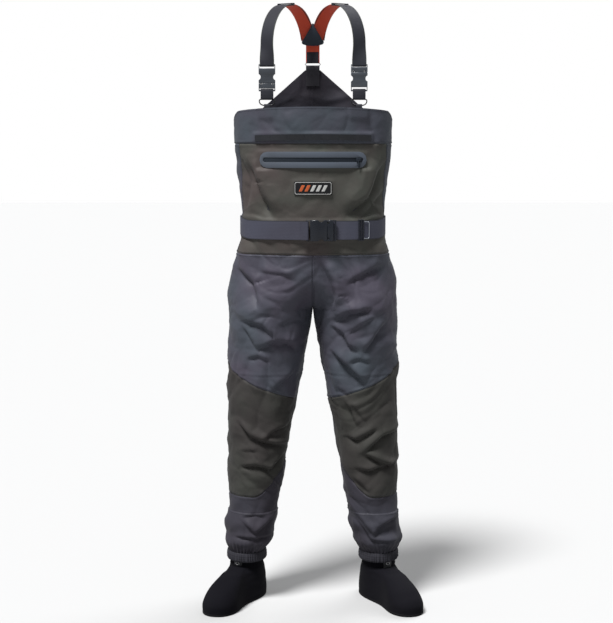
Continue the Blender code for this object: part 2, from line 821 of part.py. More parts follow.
def buckle_arm(name, place, length, width, thickness, sign, material, parent=None):
    """One sprung prong: a round root in the plug's pocket and a head behind the socket's notch."""
    socket = length * FEMALE_SHARE
    inner = width / 2 - BUCKLE_WALL
    root = socket + SLIP + ARM_ROOT + 2 * SLIP
    across = sign * (inner - ARM_ROOT - 2 * SLIP)
    reach = thickness / 2 - BUCKLE_SKIN - SLIP
    item = placed(name, cylinder_mesh(name, ARM_ROOT, 2 * reach, (root, across, 0.0), 16),
                  material, place)
    edge = across + sign * (ARM_ROOT - SLIP / 4)
    lean = reach - SLIP / 4
    low, high = sorted((edge, edge - sign * ARM_WIDTH))
    bar = box_mesh("bar", (socket - 0.021, low, -lean), (root, high, lean))
    low, high = sorted((edge, edge - sign * ARM_WIDTH * 1.7))
    head = box_mesh("head", (socket - 0.021, low, -lean), (socket - 0.012, high, lean))
    combine(item, bar, "UNION", place)
    combine(item, head, "UNION", place)
    pivot = add_pivot(f"{name}_axis", place @ Vector((root, across, 0.0)), place.to_3x3())
    if parent:
        hang_on(pivot, parent)
        bpy.context.view_layer.update()
    hang_on(item, pivot)


# ---------------------------------------------------------------- belt


def belt_height(share):
    """The belt's middle: level across the front, rising a little to the sides."""
    around = share % 2.0
    around = around if around <= 1.0 else 2.0 - around
    return BELT_FRONT_Z + BELT_RISE * smooth((around - 0.34) / 0.16)


def belt_frame():
    """The buckle's frame: its start as the origin, along, up and out as the axes."""
    middle = BELT_BUCKLE_START + BELT_BUCKLE_LENGTH / 2
    lift = BUCKLE_LIFT + BELT_BUCKLE_THICKNESS / 2
    return arc_frame(middle, BELT_FRONT_Z, lift) @ Matrix.Translation((-BELT_BUCKLE_LENGTH / 2, 0, 0))


def keeper_at():
    """Where the keeper sits, just past the bend of the front arc into the side."""
    half_width, _ = at_height(TORSO, BELT_FRONT_Z)
    turn, _ = quarter(half_width, FRONT_DEPTH)
    return FRONT_RADIUS * turn + KEEPER_PAST_BEND


def belt_lay(along):
    """The webbing's middle above the bib: it is raised where the keeper travels."""
    start, end = keeper_at() - KEEPER_RUN[0], keeper_at() + KEEPER_RUN[1]
    raised = smooth((along - start) / KEEPER_RAMP) * (1 - smooth((along - end) / KEEPER_RAMP))
    return BELT_LAY + KEEPER_RISE * raised


def belt_columns():
    """The belt's columns: round the socket's bar, then from it round the body to the plug."""
    heights = [BELT_WIDTH * share for share in (0.5, 0.25, 0.0, -0.25, -0.5)]
    place = belt_frame()
    bar = BUCKLE_END / 2
    bend = HAIRPIN + BELT_WEB / 2
    columns = []
    for along in (bar - 0.016, bar - 0.008):
        columns.append([place @ Vector((along, h, bend)) for h in heights])
    for angle in spread(0.0, math.pi, 9):
        along, out = bar + bend * math.sin(angle), bend * math.cos(angle)
        columns.append([place @ Vector((along, h, out)) for h in heights])
    for back in (0.012, 0.022, 0.032):
        share = smooth(back / 0.036)
        low = BUCKLE_LIFT + BELT_BUCKLE_THICKNESS / 2 - bend + 0.002
        out = mix(low, BELT_LAY, share)
        columns.append([arc_point(BELT_BUCKLE_START - back, BELT_FRONT_Z + h, out) for h in heights])
    half_width, _ = at_height(TORSO, BELT_FRONT_Z)
    turn, small = quarter(half_width, FRONT_DEPTH)
    length = FRONT_RADIUS * turn + small * (math.pi / 2 - turn)
    first = BELT_BUCKLE_START - 0.044
    last = BELT_BUCKLE_START + BELT_BUCKLE_LENGTH - BUCKLE_END - THIN_SLOT
    for share in spread(2 + first / length / 2, last / length / 2, 57):
        height = belt_height(share)
        lay = belt_lay(share * length * 2)
        columns.append([torso_point(height + h, share, lay) for h in heights])
    return columns


def belt_web():
    rows = [list(row) for row in zip(*belt_columns())]
    shell("belt_web", rows, BELT_GREY, BELT_WEB, offset=0.0)


def belt_buckle():
    place = belt_frame()
    size = (BELT_BUCKLE_LENGTH, BELT_BUCKLE_WIDTH, BELT_BUCKLE_THICKNESS)
    buckle_female("belt_buckle_socket", place, *size, BELT_WIDTH, BUCKLE_BLACK)
    axis = add_pivot("belt_buckle_axis", (0.0, AXIS_Y, BELT_FRONT_Z))
    plug = buckle_male("belt_buckle_plug", place, *size, BELT_WIDTH, BUCKLE_BLACK)
    hang_on(plug, axis)
    buckle_arm("belt_buckle_arm_lower", place, *size, -1, BUCKLE_BLACK, axis)
    buckle_arm("belt_buckle_arm_upper", place, *size, 1, BUCKLE_BLACK, axis)


def sleeve(name, place, length, opening, gap, bar, material, sole=None):
    """A flat frame that webbing passes through, with two windows in its outer face."""
    half, tall = opening / 2 + SLIP * 2, gap / 2
    low = (-length / 2, -half - bar * 1.2, -tall - (sole or bar))
    high = (length / 2, half + bar * 1.2, tall + bar)
    item = placed(name, box_mesh(name, low, high, 0.0005), material, place)
    tunnel = box_mesh("tunnel", (-length, -half, -tall), (length, half, tall))
    combine(item, tunnel, "DIFFERENCE", place)
    for sign in (-1, 1):
        low, high = sorted((sign * length * 0.10, sign * length * 0.30))
        window = box_mesh("window", (low, -half, 0.0), (high, half, tall + 2 * bar))
        combine(item, window, "DIFFERENCE", place)
    return item


def belt_keeper():
    gap = BELT_WEB + 3 * SLIP
    place = arc_frame(keeper_at(), BELT_FRONT_Z, belt_lay(keeper_at()))
    axis = add_pivot("belt_keeper_axis", (0.0, AXIS_Y, BELT_FRONT_Z))
    keeper = sleeve("belt_keeper", place, KEEPER_LENGTH, BELT_WIDTH, gap, KEEPER_BAR, BUCKLE_BLACK,
                    KEEPER_SOLE)
    hang_on(keeper, axis)


# ---------------------------------------------------------------- braces


def ribbon(name, middles, across, width, thickness, material, closed=False):
    """Webbing along a path: a middle point and an unit vector across it at each step."""
    rows = []
    for share in (-0.5, 0.5):
        rows.append([m + a * (share * width) for m, a in zip(middles, across)])
    return shell(name, rows, material, thickness, closed=closed, offset=0.0)


def front_y():
    """Where the braces' front pieces lie: just behind the yoke's inner face."""
    surface = AXIS_Y - math.sqrt(FRONT_RADIUS**2 - STRAP_X**2)
    return surface + WALL + HAIRPIN + STRAP_WEB + 0.0060


class Arch:
    """The half circle that a brace makes over the shoulder, in an upright plane."""

    def __init__(self, side):
        front = Vector((side * STRAP_X, front_y(), 0.0))
        back = Vector((side * STRAP_BACK_X, STRAP_BACK_Y, 0.0))
        self.radius = (back - front).length / 2
        self.along = (back - front).normalized()
        self.across = Vector((-self.along.y, self.along.x, 0.0))
        if self.across.x < 0:
            self.across.negate()
        self.centre = (front + back) / 2 + Vector((0, 0, ARCH_TOP_Z - self.radius))

    def point(self, angle):
        """angle 0 is the front spring line, a half turn the back one."""
        return (self.centre - self.along * (self.radius * math.cos(angle))
                + Vector((0, 0, self.radius * math.sin(angle))))

    def back_angle(self, height):
        """The angle at which the brace's back half is at a height."""
        return math.pi - math.asin((height - self.centre.z) / self.radius)

    def frame(self, angle):
        """First axis along the brace, second across it, third out."""
        out = (self.point(angle) - self.centre).normalized()
        along = self.across.cross(out)
        turn = Matrix((along, self.across, out)).transposed().to_4x4()
        return Matrix.Translation(self.point(angle)) @ turn


def hairpin_points(x, y, z, radius, tail, upward):
    """Half a loop round a bar, its short tail behind and its open side up or down."""
    sign = 1 if upward else -1
    points = [Vector((x, y + radius, z + sign * tail)), Vector((x, y + radius, z + sign * tail / 2))]
    for angle in spread(0.0, math.pi, 9):
        points.append(Vector((x, y + radius * math.cos(angle), z - sign * radius * math.sin(angle))))
    return points


def front_strap(side, word, bar_z, arch):
    radius = HAIRPIN + STRAP_WEB / 2
    x, y = side * STRAP_X, front_y()
    middles = hairpin_points(x, y, bar_z, radius, 0.016, True)
    across = [Vector((1, 0, 0))] * len(middles)
    spring = arch.centre.z
    start = Vector((x, y - radius, bar_z))
    for share in spread(0.0, 1.0, 6)[1:]:
        height = mix(bar_z, spring, share)
        target = arch.point(0.0)
        middles.append(Vector((mix(start.x, target.x, smooth(share)),
                               mix(start.y, target.y, smooth(share)), height)))
        across.append(Vector((1, 0, 0)).lerp(arch.across, smooth(share)).normalized())
    top = math.pi / 2 - CLEARANCE / arch.radius
    for angle in spread(0.0, top, 14)[1:]:
        middles.append(arch.point(angle))
        across.append(arch.across)
    ribbon(f"front_strap_{word}", middles, across, STRAP_WIDTH, STRAP_WEB, WEB_CHARCOAL)


def patch_plane(arch):
    """A point on the patch's middle plane and the plane's normal, away from the wearer."""
    ends = (PATCH_BOTTOM_Z + PATCH_HEM, PATCH_TOP_Z - PATCH_HEM)
    low, high = (arch.point(arch.back_angle(height)) for height in ends)
    tilt = math.atan2(low.y - high.y, high.z - low.z)
    foot = Vector((0.0, low.y + PATCH_HEM * math.tan(tilt), PATCH_BOTTOM_Z))
    return foot, Vector((0.0, math.cos(tilt), math.sin(tilt))), tilt


def back_strap(side, word, arch):
    """The half of the brace behind the shoulder; one lies over the other under the patch."""
    start = math.pi / 2 + CLEARANCE / arch.radius
    end = arch.back_angle(PATCH_BOTTOM_Z + PATCH_HEM)
    _, normal, _ = patch_plane(arch)
    middles, across = [], []
    for share in spread(0.0, 1.0, 16):
        angle = mix(start, end, share)
        middles.append(arch.point(angle) + normal * (side * PATCH_STEP * smooth(share)))
        out = (arch.point(angle) - arch.centre).normalized()
        along = arch.across.cross(out)
        flat = along.cross(normal)
        if flat.dot(arch.across) < 0:
            flat.negate()
        across.append(arch.across.lerp(flat.normalized(), smooth(share)).normalized())
    ribbon(f"back_strap_{word}", middles, across, STRAP_WIDTH, STRAP_WEB, ORANGE)


def shoulder_adjuster(word, arch):
    axis = add_pivot(f"shoulder_adjuster_axis_{word}", arch.centre)
    gap = STRAP_WEB + 3 * SLIP
    slide = sleeve(f"shoulder_adjuster_{word}", arch.frame(math.pi / 2 - 0.10), ADJUSTER_LENGTH,
                   STRAP_WIDTH, gap, ADJUSTER_BAR, BUCKLE_BLACK)
    hang_on(slide, axis)


def d_ring(side, word):
    """A wire ring with a straight bar on top and a shallow bow under it."""
    centre = Vector((side * STRAP_X, front_y(), RING_BAR_Z))
    points = []
    for angle in spread(0.0, math.pi, 11):
        drop = RING_DROP * math.sin(angle) ** RING_SQUARE
        points.append(centre + Vector((RING_HALF_WIDTH * math.cos(angle), 0.0, -drop)))
    bent_wire(f"d_ring_{word}", points, RING_WIRE, RING_BLACK, Matrix.Identity(4), cyclic=True)


def web_loop(name, x, y, low, high, width, material):
    """A closed loop of webbing round two bars, one above the other."""
    radius = HAIRPIN + STRAP_WEB / 2
    middles = []
    for angle in spread(0.0, math.pi, 9):
        middles.append(Vector((x, y + radius * math.cos(angle), high + radius * math.sin(angle))))
    for angle in spread(math.pi, 2 * math.pi, 9):
        middles.append(Vector((x, y + radius * math.cos(angle), low + radius * math.sin(angle))))
    ribbon(name, middles, [Vector((1, 0, 0))] * len(middles), width, STRAP_WEB, material, closed=True)


def anchor_tab(side, word):
    """Webbing sewn inside the yoke, its top folded over the ring's bow."""
    x, y = side * STRAP_X, front_y()
    bow = RING_BAR_Z - RING_DROP
    radius = HAIRPIN + STRAP_WEB / 2
    inside = AXIS_Y - math.sqrt(FRONT_RADIUS**2 - (STRAP_X + 0.011) ** 2) + WALL + 0.0040
    middles = [Vector((x, inside, bow - 0.062)), Vector((x, inside, bow - 0.030)),
               Vector((x, mix(inside, y - radius, 0.6), bow - 0.014)), Vector((x, y - radius, bow - 0.005))]
    for angle in spread(math.pi, 0.0, 9):
        middles.append(Vector((x, y + radius * math.cos(angle), bow + radius * math.sin(angle))))
    middles.append(Vector((x, y + radius, bow - 0.018)))
    ribbon(f"brace_anchor_{word}", middles, [Vector((1, 0, 0))] * len(middles), ANCHOR_WIDTH,
           STRAP_WEB, WEB_CHARCOAL)


def brace(side, word, socket_on_top):
    """One shoulder brace, from its ring on the chest over the shoulder to the back patch."""
    arch = Arch(side)
    anchor_tab(side, word)
    d_ring(side, word)
    low_bar = RING_BAR_Z + LOOP_CENTRES
    web_loop(f"ring_loop_{word}", side * STRAP_X, front_y(), RING_BAR_Z, low_bar, LOOP_WIDTH,
             WEB_CHARCOAL)
    start = low_bar - BUCKLE_END / 2
    end = start + STRAP_BUCKLE_LENGTH
    facing = Matrix.Rotation(math.pi / 2, 4, "X")
    if socket_on_top:
        turn = facing @ Matrix.Rotation(-math.pi / 2, 4, "Z")
        place = Matrix.Translation((side * STRAP_X, front_y(), end)) @ turn
    else:
        turn = facing @ Matrix.Rotation(math.pi / 2, 4, "Z")
        place = Matrix.Translation((side * STRAP_X, front_y(), start)) @ turn
    size = (STRAP_BUCKLE_LENGTH, STRAP_BUCKLE_WIDTH, STRAP_BUCKLE_THICKNESS)
    buckle_female(f"brace_buckle_socket_{word}", place, *size, STRAP_WIDTH, BUCKLE_GREY)
    buckle_male(f"brace_buckle_plug_{word}", place, *size, STRAP_WIDTH, BUCKLE_GREY)
    buckle_arm(f"brace_buckle_arm_a_{word}", place, *size, -1, BUCKLE_GREY)
    buckle_arm(f"brace_buckle_arm_b_{word}", place, *size, 1, BUCKLE_GREY)
    front_strap(side, word, end - BUCKLE_END / 2, arch)
    shoulder_adjuster(word, arch)
    back_strap(side, word, arch)


def patch_outline():
    """A triangle with round corners and a bowed foot, in x and z from its foot's middle."""
    height = PATCH_TOP_Z - PATCH_BOTTOM_Z
    half = PATCH_HALF_WIDTH
    right = [(0.0025, height - 0.001), (0.006, height - 0.008), (half - 0.003, 0.012),
             (half, 0.006), (half - 0.003, 0.002), (half * 0.5, -0.002)]
    return [(0.0, height), *right, (0.0, -0.003), *[(-x, z) for x, z in reversed(right)]]


def back_join():
    """The patch leaves, the stem, the flat ring and the tab that joins them to the high back."""
    foot, normal, tilt = patch_plane(Arch(1))
    upright = Matrix.Rotation(math.pi / 2 + tilt, 4, "X")
    lean = PATCH_STEP + STRAP_WEB / 2 + PATCH_THICKNESS / 2 + 2 * CLEARANCE
    for word, away in (("inner", -lean - PATCH_BOW / 2), ("outer", lean + PATCH_BOW)):
        place = Matrix.Translation(foot + normal * away) @ upright
        flat_plate(f"back_patch_{word}", [patch_outline()], PATCH_THICKNESS, PATCH_BLACK, place)
    radius = HAIRPIN + STRAP_WEB / 2
    half = GLIDE_HEIGHT / 2
    top_bar, low_bar = GLIDE_Z + half, GLIDE_Z - half
    stem = hairpin_points(0.0, STRAP_BACK_Y, top_bar, radius, 0.024, True)
    for share in (0.35, 0.7, 1.0):
        height = mix(top_bar, PATCH_BOTTOM_Z + PATCH_HEM / 2, share)
        plane = foot.y - (height - foot.z) * math.tan(tilt)
        stem.append(Vector((0.0, mix(STRAP_BACK_Y - radius, plane, smooth(share / 0.7)), height)))
    ribbon("back_stem_web", stem, [Vector((1, 0, 0))] * len(stem), STRAP_WIDTH, STRAP_WEB, WEB_CHARCOAL)
    wide = GLIDE_HALF_WIDTH
    corners = [(-wide, low_bar), (wide, low_bar), (wide, top_bar), (-wide, top_bar)]
    ring = [Vector((x, STRAP_BACK_Y, z)) for x, z in corners]
    bent_wire("back_flat_ring", ring, GLIDE_WIRE, RING_BLACK, Matrix.Identity(4), cyclic=True)
    inside = torso_point(HIGH_BACK_Z, 1.0).y - WALL - 0.0012 - STRAP_WEB / 2
    tab = [Vector((0.0, inside, HIGH_BACK_Z - 0.045)), Vector((0.0, inside, HIGH_BACK_Z - 0.012)),
           Vector((0.0, mix(inside, STRAP_BACK_Y - radius, 0.7), HIGH_BACK_Z - 0.002))]
    for angle in spread(math.pi, 0.0, 9):
        tab.append(Vector((0.0, STRAP_BACK_Y + radius * math.cos(angle), low_bar + radius * math.sin(angle))))
    ribbon("high_back_tab", tab, [Vector((1, 0, 0))] * len(tab), STRAP_WIDTH, STRAP_WEB, WEB_CHARCOAL)


# ---------------------------------------------------------------- build


clear_scene()
PARTS = new_collection("chest_waders")
CUTTERS = new_collection("cutters")

CHARCOAL = make_material("charcoal_fabric", (0.075, 0.082, 0.100), 0.62)
CHARCOAL_DARK = make_material("dark_charcoal_fabric", (0.042, 0.041, 0.052), 0.66)
OLIVE = make_material("olive_fabric", (0.088, 0.088, 0.082), 0.66)
OLIVE_DARK = make_material("olive_knee_fabric", (0.052, 0.052, 0.049), 0.70)
RIB_BLACK = make_material("hem_elastic", (0.036, 0.035, 0.044), 0.80)
NEOPRENE_BLACK = make_material("neoprene", (0.010, 0.010, 0.012), 0.85)
SOLE_BLACK = make_material("neoprene_sole", (0.012, 0.012, 0.014), 0.75)
LINING = make_material("pocket_lining", (0.050, 0.052, 0.058), 0.70)
STEEL = make_material("hook_steel", (0.60, 0.60, 0.62), 0.30, 1.0)
WELT_GREY = make_material("zip_welt", (0.096, 0.110, 0.138), 0.50)
ZIP_BLACK = make_material("zip_coil", (0.020, 0.024, 0.032), 0.45)
WEB_BLACK = make_material("black_web", (0.018, 0.020, 0.026), 0.70)
BADGE_BLACK = make_material("badge_rubber", (0.020, 0.020, 0.022), 0.45)
BELT_GREY = make_material("belt_web", (0.073, 0.076, 0.102), 0.60)
BUCKLE_BLACK = make_material("black_plastic", (0.012, 0.014, 0.020), 0.35)
BUCKLE_GREY = make_material("grey_plastic", (0.070, 0.080, 0.095), 0.35)
RING_BLACK = make_material("black_ring", (0.012, 0.012, 0.014), 0.35)
WEB_CHARCOAL = make_material("brace_web", (0.052, 0.055, 0.068), 0.62)
ORANGE = make_material("orange_web", (0.600, 0.080, 0.040), 0.60)
PATCH_BLACK = make_material("back_patch", (0.024, 0.030, 0.040), 0.55)

front_yoke()
front_bib()
back_panel()
high_back()
for side_sign, side_word in ((1, "left"), (-1, "right")):
    leg(side_sign, side_word)
    gravel_guard(side_sign, side_word)
    hem_elastic(side_sign, side_word)
    bootie_upper(side_sign, side_word)
    bootie_sole(side_sign, side_word)
    lace_hook(side_sign, side_word)
    brace(side_sign, side_word, socket_on_top=side_sign < 0)
zip_welt()
zip_coil()
zip_slider()
pocket_bag()
gear_strip()
badge()
belt_web()
belt_buckle()
belt_keeper()
back_join()
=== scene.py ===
"""Chest waders: creased fabric panels, neoprene feet, belt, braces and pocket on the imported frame."""

import json
import logging
import math
import random
from dataclasses import dataclass, field
from enum import Enum
from functools import partial
from typing import Callable, Sequence

import bpy
import numpy as np
from mathutils import Matrix, Vector, noise


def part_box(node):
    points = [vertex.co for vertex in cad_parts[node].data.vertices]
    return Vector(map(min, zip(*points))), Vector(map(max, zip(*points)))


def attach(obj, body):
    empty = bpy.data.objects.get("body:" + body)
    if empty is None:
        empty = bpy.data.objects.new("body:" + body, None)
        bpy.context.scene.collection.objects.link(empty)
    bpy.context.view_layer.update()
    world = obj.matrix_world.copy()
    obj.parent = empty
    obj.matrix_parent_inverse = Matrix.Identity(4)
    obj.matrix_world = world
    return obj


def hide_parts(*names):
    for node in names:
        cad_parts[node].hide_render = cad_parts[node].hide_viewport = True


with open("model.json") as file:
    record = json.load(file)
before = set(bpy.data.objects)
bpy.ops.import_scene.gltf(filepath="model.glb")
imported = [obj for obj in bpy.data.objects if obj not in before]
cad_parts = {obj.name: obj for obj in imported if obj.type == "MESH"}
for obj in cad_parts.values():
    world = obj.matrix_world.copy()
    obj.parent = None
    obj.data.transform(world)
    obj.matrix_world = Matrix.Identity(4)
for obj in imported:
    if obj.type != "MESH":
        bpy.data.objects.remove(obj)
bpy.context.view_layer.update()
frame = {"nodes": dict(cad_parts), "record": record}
LOG = logging.getLogger("chest_waders")
SIDES = ((1, "left"), (-1, "right"))
STEP = 0.0035
BELT_Z, BELT_RISE = 1.042, 0.009
ZIP_Z, STRIP_Z, BADGE_Z = 1.229, 1.289, 1.154
STRAP_X = 0.1225
THIGH_ENDS, KNEE_ENDS = (0.569, 0.676), (0.395, 0.301)
TO_FRONT = (0.0, -1.0, 0.0)

Place = Callable[[float, float], tuple[Vector, Vector]]


def smooth(share: float) -> float:
    """Eases a share from 0 to 1."""
    share = min(max(share, 0.0), 1.0)
    return share * share * (3.0 - 2.0 * share)


def smooth_array(share: np.ndarray) -> np.ndarray:
    """Eases an array of shares from 0 to 1."""
    share = np.clip(share, 0.0, 1.0)
    return share * share * (3.0 - 2.0 * share)


def mix(start: float, end: float, share: float) -> float:
    """Goes a share of the way from start to end."""
    return start + (end - start) * share


def spread(start: float, end: float, count: int) -> list[float]:
    """Spaces count numbers evenly from start to end."""
    return [mix(start, end, i / (count - 1)) for i in range(count)]


def within(gap: np.ndarray, half: float, ease: float) -> np.ndarray:
    """Is 1 where a gap is well inside half, and eases to 0 at half."""
    return smooth_array((half - np.abs(gap)) / ease)


def between(points: Sequence[Vector], share: float) -> Vector:
    """A point on the smooth curve from the second of four points to the third."""
    p0, p1, p2, p3 = points
    return (2 * p1 + (p2 - p0) * share + (2 * p0 - 5 * p1 + 4 * p2 - p3) * share * share
            + (3 * p1 - p0 - 3 * p2 + p3) * share**3) / 2


def body_of(node: str) -> str:
    """Finds the body that a node belongs to."""
    bodies = frame["record"]["behaviour"]["bodies"]
    return next(body for body, nodes in bodies.items() if node in nodes)


# ---------------------------------------------------------------- finishes


class Effect(Enum):
    """What a finish is made of, which decides its fine detail."""

    CLOTH = "cloth"
    WEBBING = "webbing"
    NEOPRENE = "neoprene"
    PLASTIC = "plastic"
    FILM = "film"
    METAL = "metal"
    THREAD = "thread"


@dataclass(frozen=True)
class Finish:
    """One finish: its slot, two tones that it drifts between, its gloss and its grain."""

    slot: str
    effect: Effect
    tone: tuple[float, float, float]
    drift: tuple[float, float, float]
    roughness: float
    pitch: float = 0.0012
    half_width: float = 0.019
    edge: tuple[float, float, float] | None = None
    band: float | None = None
    specular: float = 0.22


FINISHES = {
    "charcoal": Finish("charcoal_fabric", Effect.CLOTH, (0.081, 0.096, 0.117), (0.089, 0.078, 0.107), 0.56),
    "dark_charcoal": Finish("dark_charcoal_fabric", Effect.CLOTH, (0.052, 0.052, 0.067),
                            (0.049, 0.043, 0.056), 0.60),
    "olive": Finish("olive_fabric", Effect.CLOTH, (0.087, 0.090, 0.078), (0.097, 0.077, 0.074), 0.58),
    "knee": Finish("olive_knee_fabric", Effect.CLOTH, (0.059, 0.060, 0.053), (0.051, 0.045, 0.044), 0.64),
    "hem": Finish("hem_elastic", Effect.CLOTH, (0.047, 0.046, 0.058), (0.036, 0.035, 0.044), 0.75),
    "lining": Finish("pocket_lining", Effect.CLOTH, (0.050, 0.052, 0.058), (0.042, 0.044, 0.050), 0.70),
    "neoprene": Finish("neoprene", Effect.NEOPRENE, (0.0060, 0.0058, 0.0084), (0.0085, 0.0082, 0.0110), 0.86,
                       specular=0.06),
    "sole": Finish("neoprene_sole", Effect.NEOPRENE, (0.009, 0.009, 0.011), (0.012, 0.012, 0.014), 0.78,
                   specular=0.10),
    "steel": Finish("hook_steel", Effect.METAL, (0.82, 0.82, 0.84), (0.70, 0.70, 0.72), 0.28),
    "welt": Finish("zip_welt", Effect.FILM, (0.112, 0.132, 0.168), (0.097, 0.111, 0.137), 0.48),
    "coil": Finish("zip_coil", Effect.PLASTIC, (0.018, 0.024, 0.034), (0.030, 0.038, 0.050), 0.42),
    # black_web's second tone is much lighter: painted sheen, shiny patches that the broad noise scatters
    # over the loops.
    "black_web": Finish("black_web", Effect.WEBBING, (0.010, 0.011, 0.015), (0.024, 0.027, 0.034), 0.42,
                        half_width=0.00775, specular=0.6),
    "badge": Finish("badge_rubber", Effect.FILM, (0.014, 0.014, 0.016), (0.020, 0.020, 0.022), 0.45),
    "belt": Finish("belt_web", Effect.WEBBING, (0.095, 0.100, 0.140), (0.080, 0.077, 0.105), 0.60,
                   half_width=0.025, edge=(0.050, 0.052, 0.070)),
    "black_plastic": Finish("black_plastic", Effect.PLASTIC, (0.012, 0.014, 0.020),
                            (0.016, 0.019, 0.027), 0.28, specular=0.45),
    "grey_plastic": Finish("grey_plastic", Effect.PLASTIC, (0.066, 0.076, 0.092),
                           (0.048, 0.054, 0.064), 0.34, specular=0.6),
    "ring": Finish("black_ring", Effect.PLASTIC, (0.012, 0.012, 0.014), (0.018, 0.018, 0.022), 0.32,
                   specular=0.6),
    "brace": Finish("brace_web", Effect.WEBBING, (0.039, 0.042, 0.054), (0.036, 0.034, 0.044), 0.62,
                    edge=(0.062, 0.070, 0.060)),
    "orange": Finish("orange_web", Effect.WEBBING, (0.950, 0.125, 0.066), (0.860, 0.100, 0.056), 0.55,
                     edge=(0.300, 0.050, 0.034)),
    "stem": Finish("brace_web", Effect.WEBBING, (0.050, 0.054, 0.069), (0.046, 0.044, 0.056), 0.62,
                   half_width=0.0185, edge=(0.900, 0.115, 0.060), band=1.5275),
    # tab: the brace webbing in a lighter tone, painted light for the tab, which sits in shade.
    "tab": Finish("brace_web", Effect.WEBBING, (0.098, 0.096, 0.112), (0.088, 0.084, 0.100), 0.62),
    "wire": Finish("grey_plastic", Effect.METAL, (0.42, 0.45, 0.50), (0.34, 0.36, 0.40), 0.34, specular=0.5),
    "patch": Finish("back_patch", Effect.FILM, (0.042, 0.055, 0.076), (0.053, 0.067, 0.087), 0.50),
    "thread": Finish("charcoal_fabric", Effect.THREAD, (0.040, 0.043, 0.052), (0.052, 0.055, 0.064), 0.70),
    "mark_pale": Finish("badge_rubber", Effect.FILM, (0.62, 0.62, 0.60), (0.54, 0.54, 0.52), 0.40),
    "mark_orange": Finish("badge_rubber", Effect.FILM, (0.60, 0.13, 0.045), (0.50, 0.10, 0.035), 0.40),
}


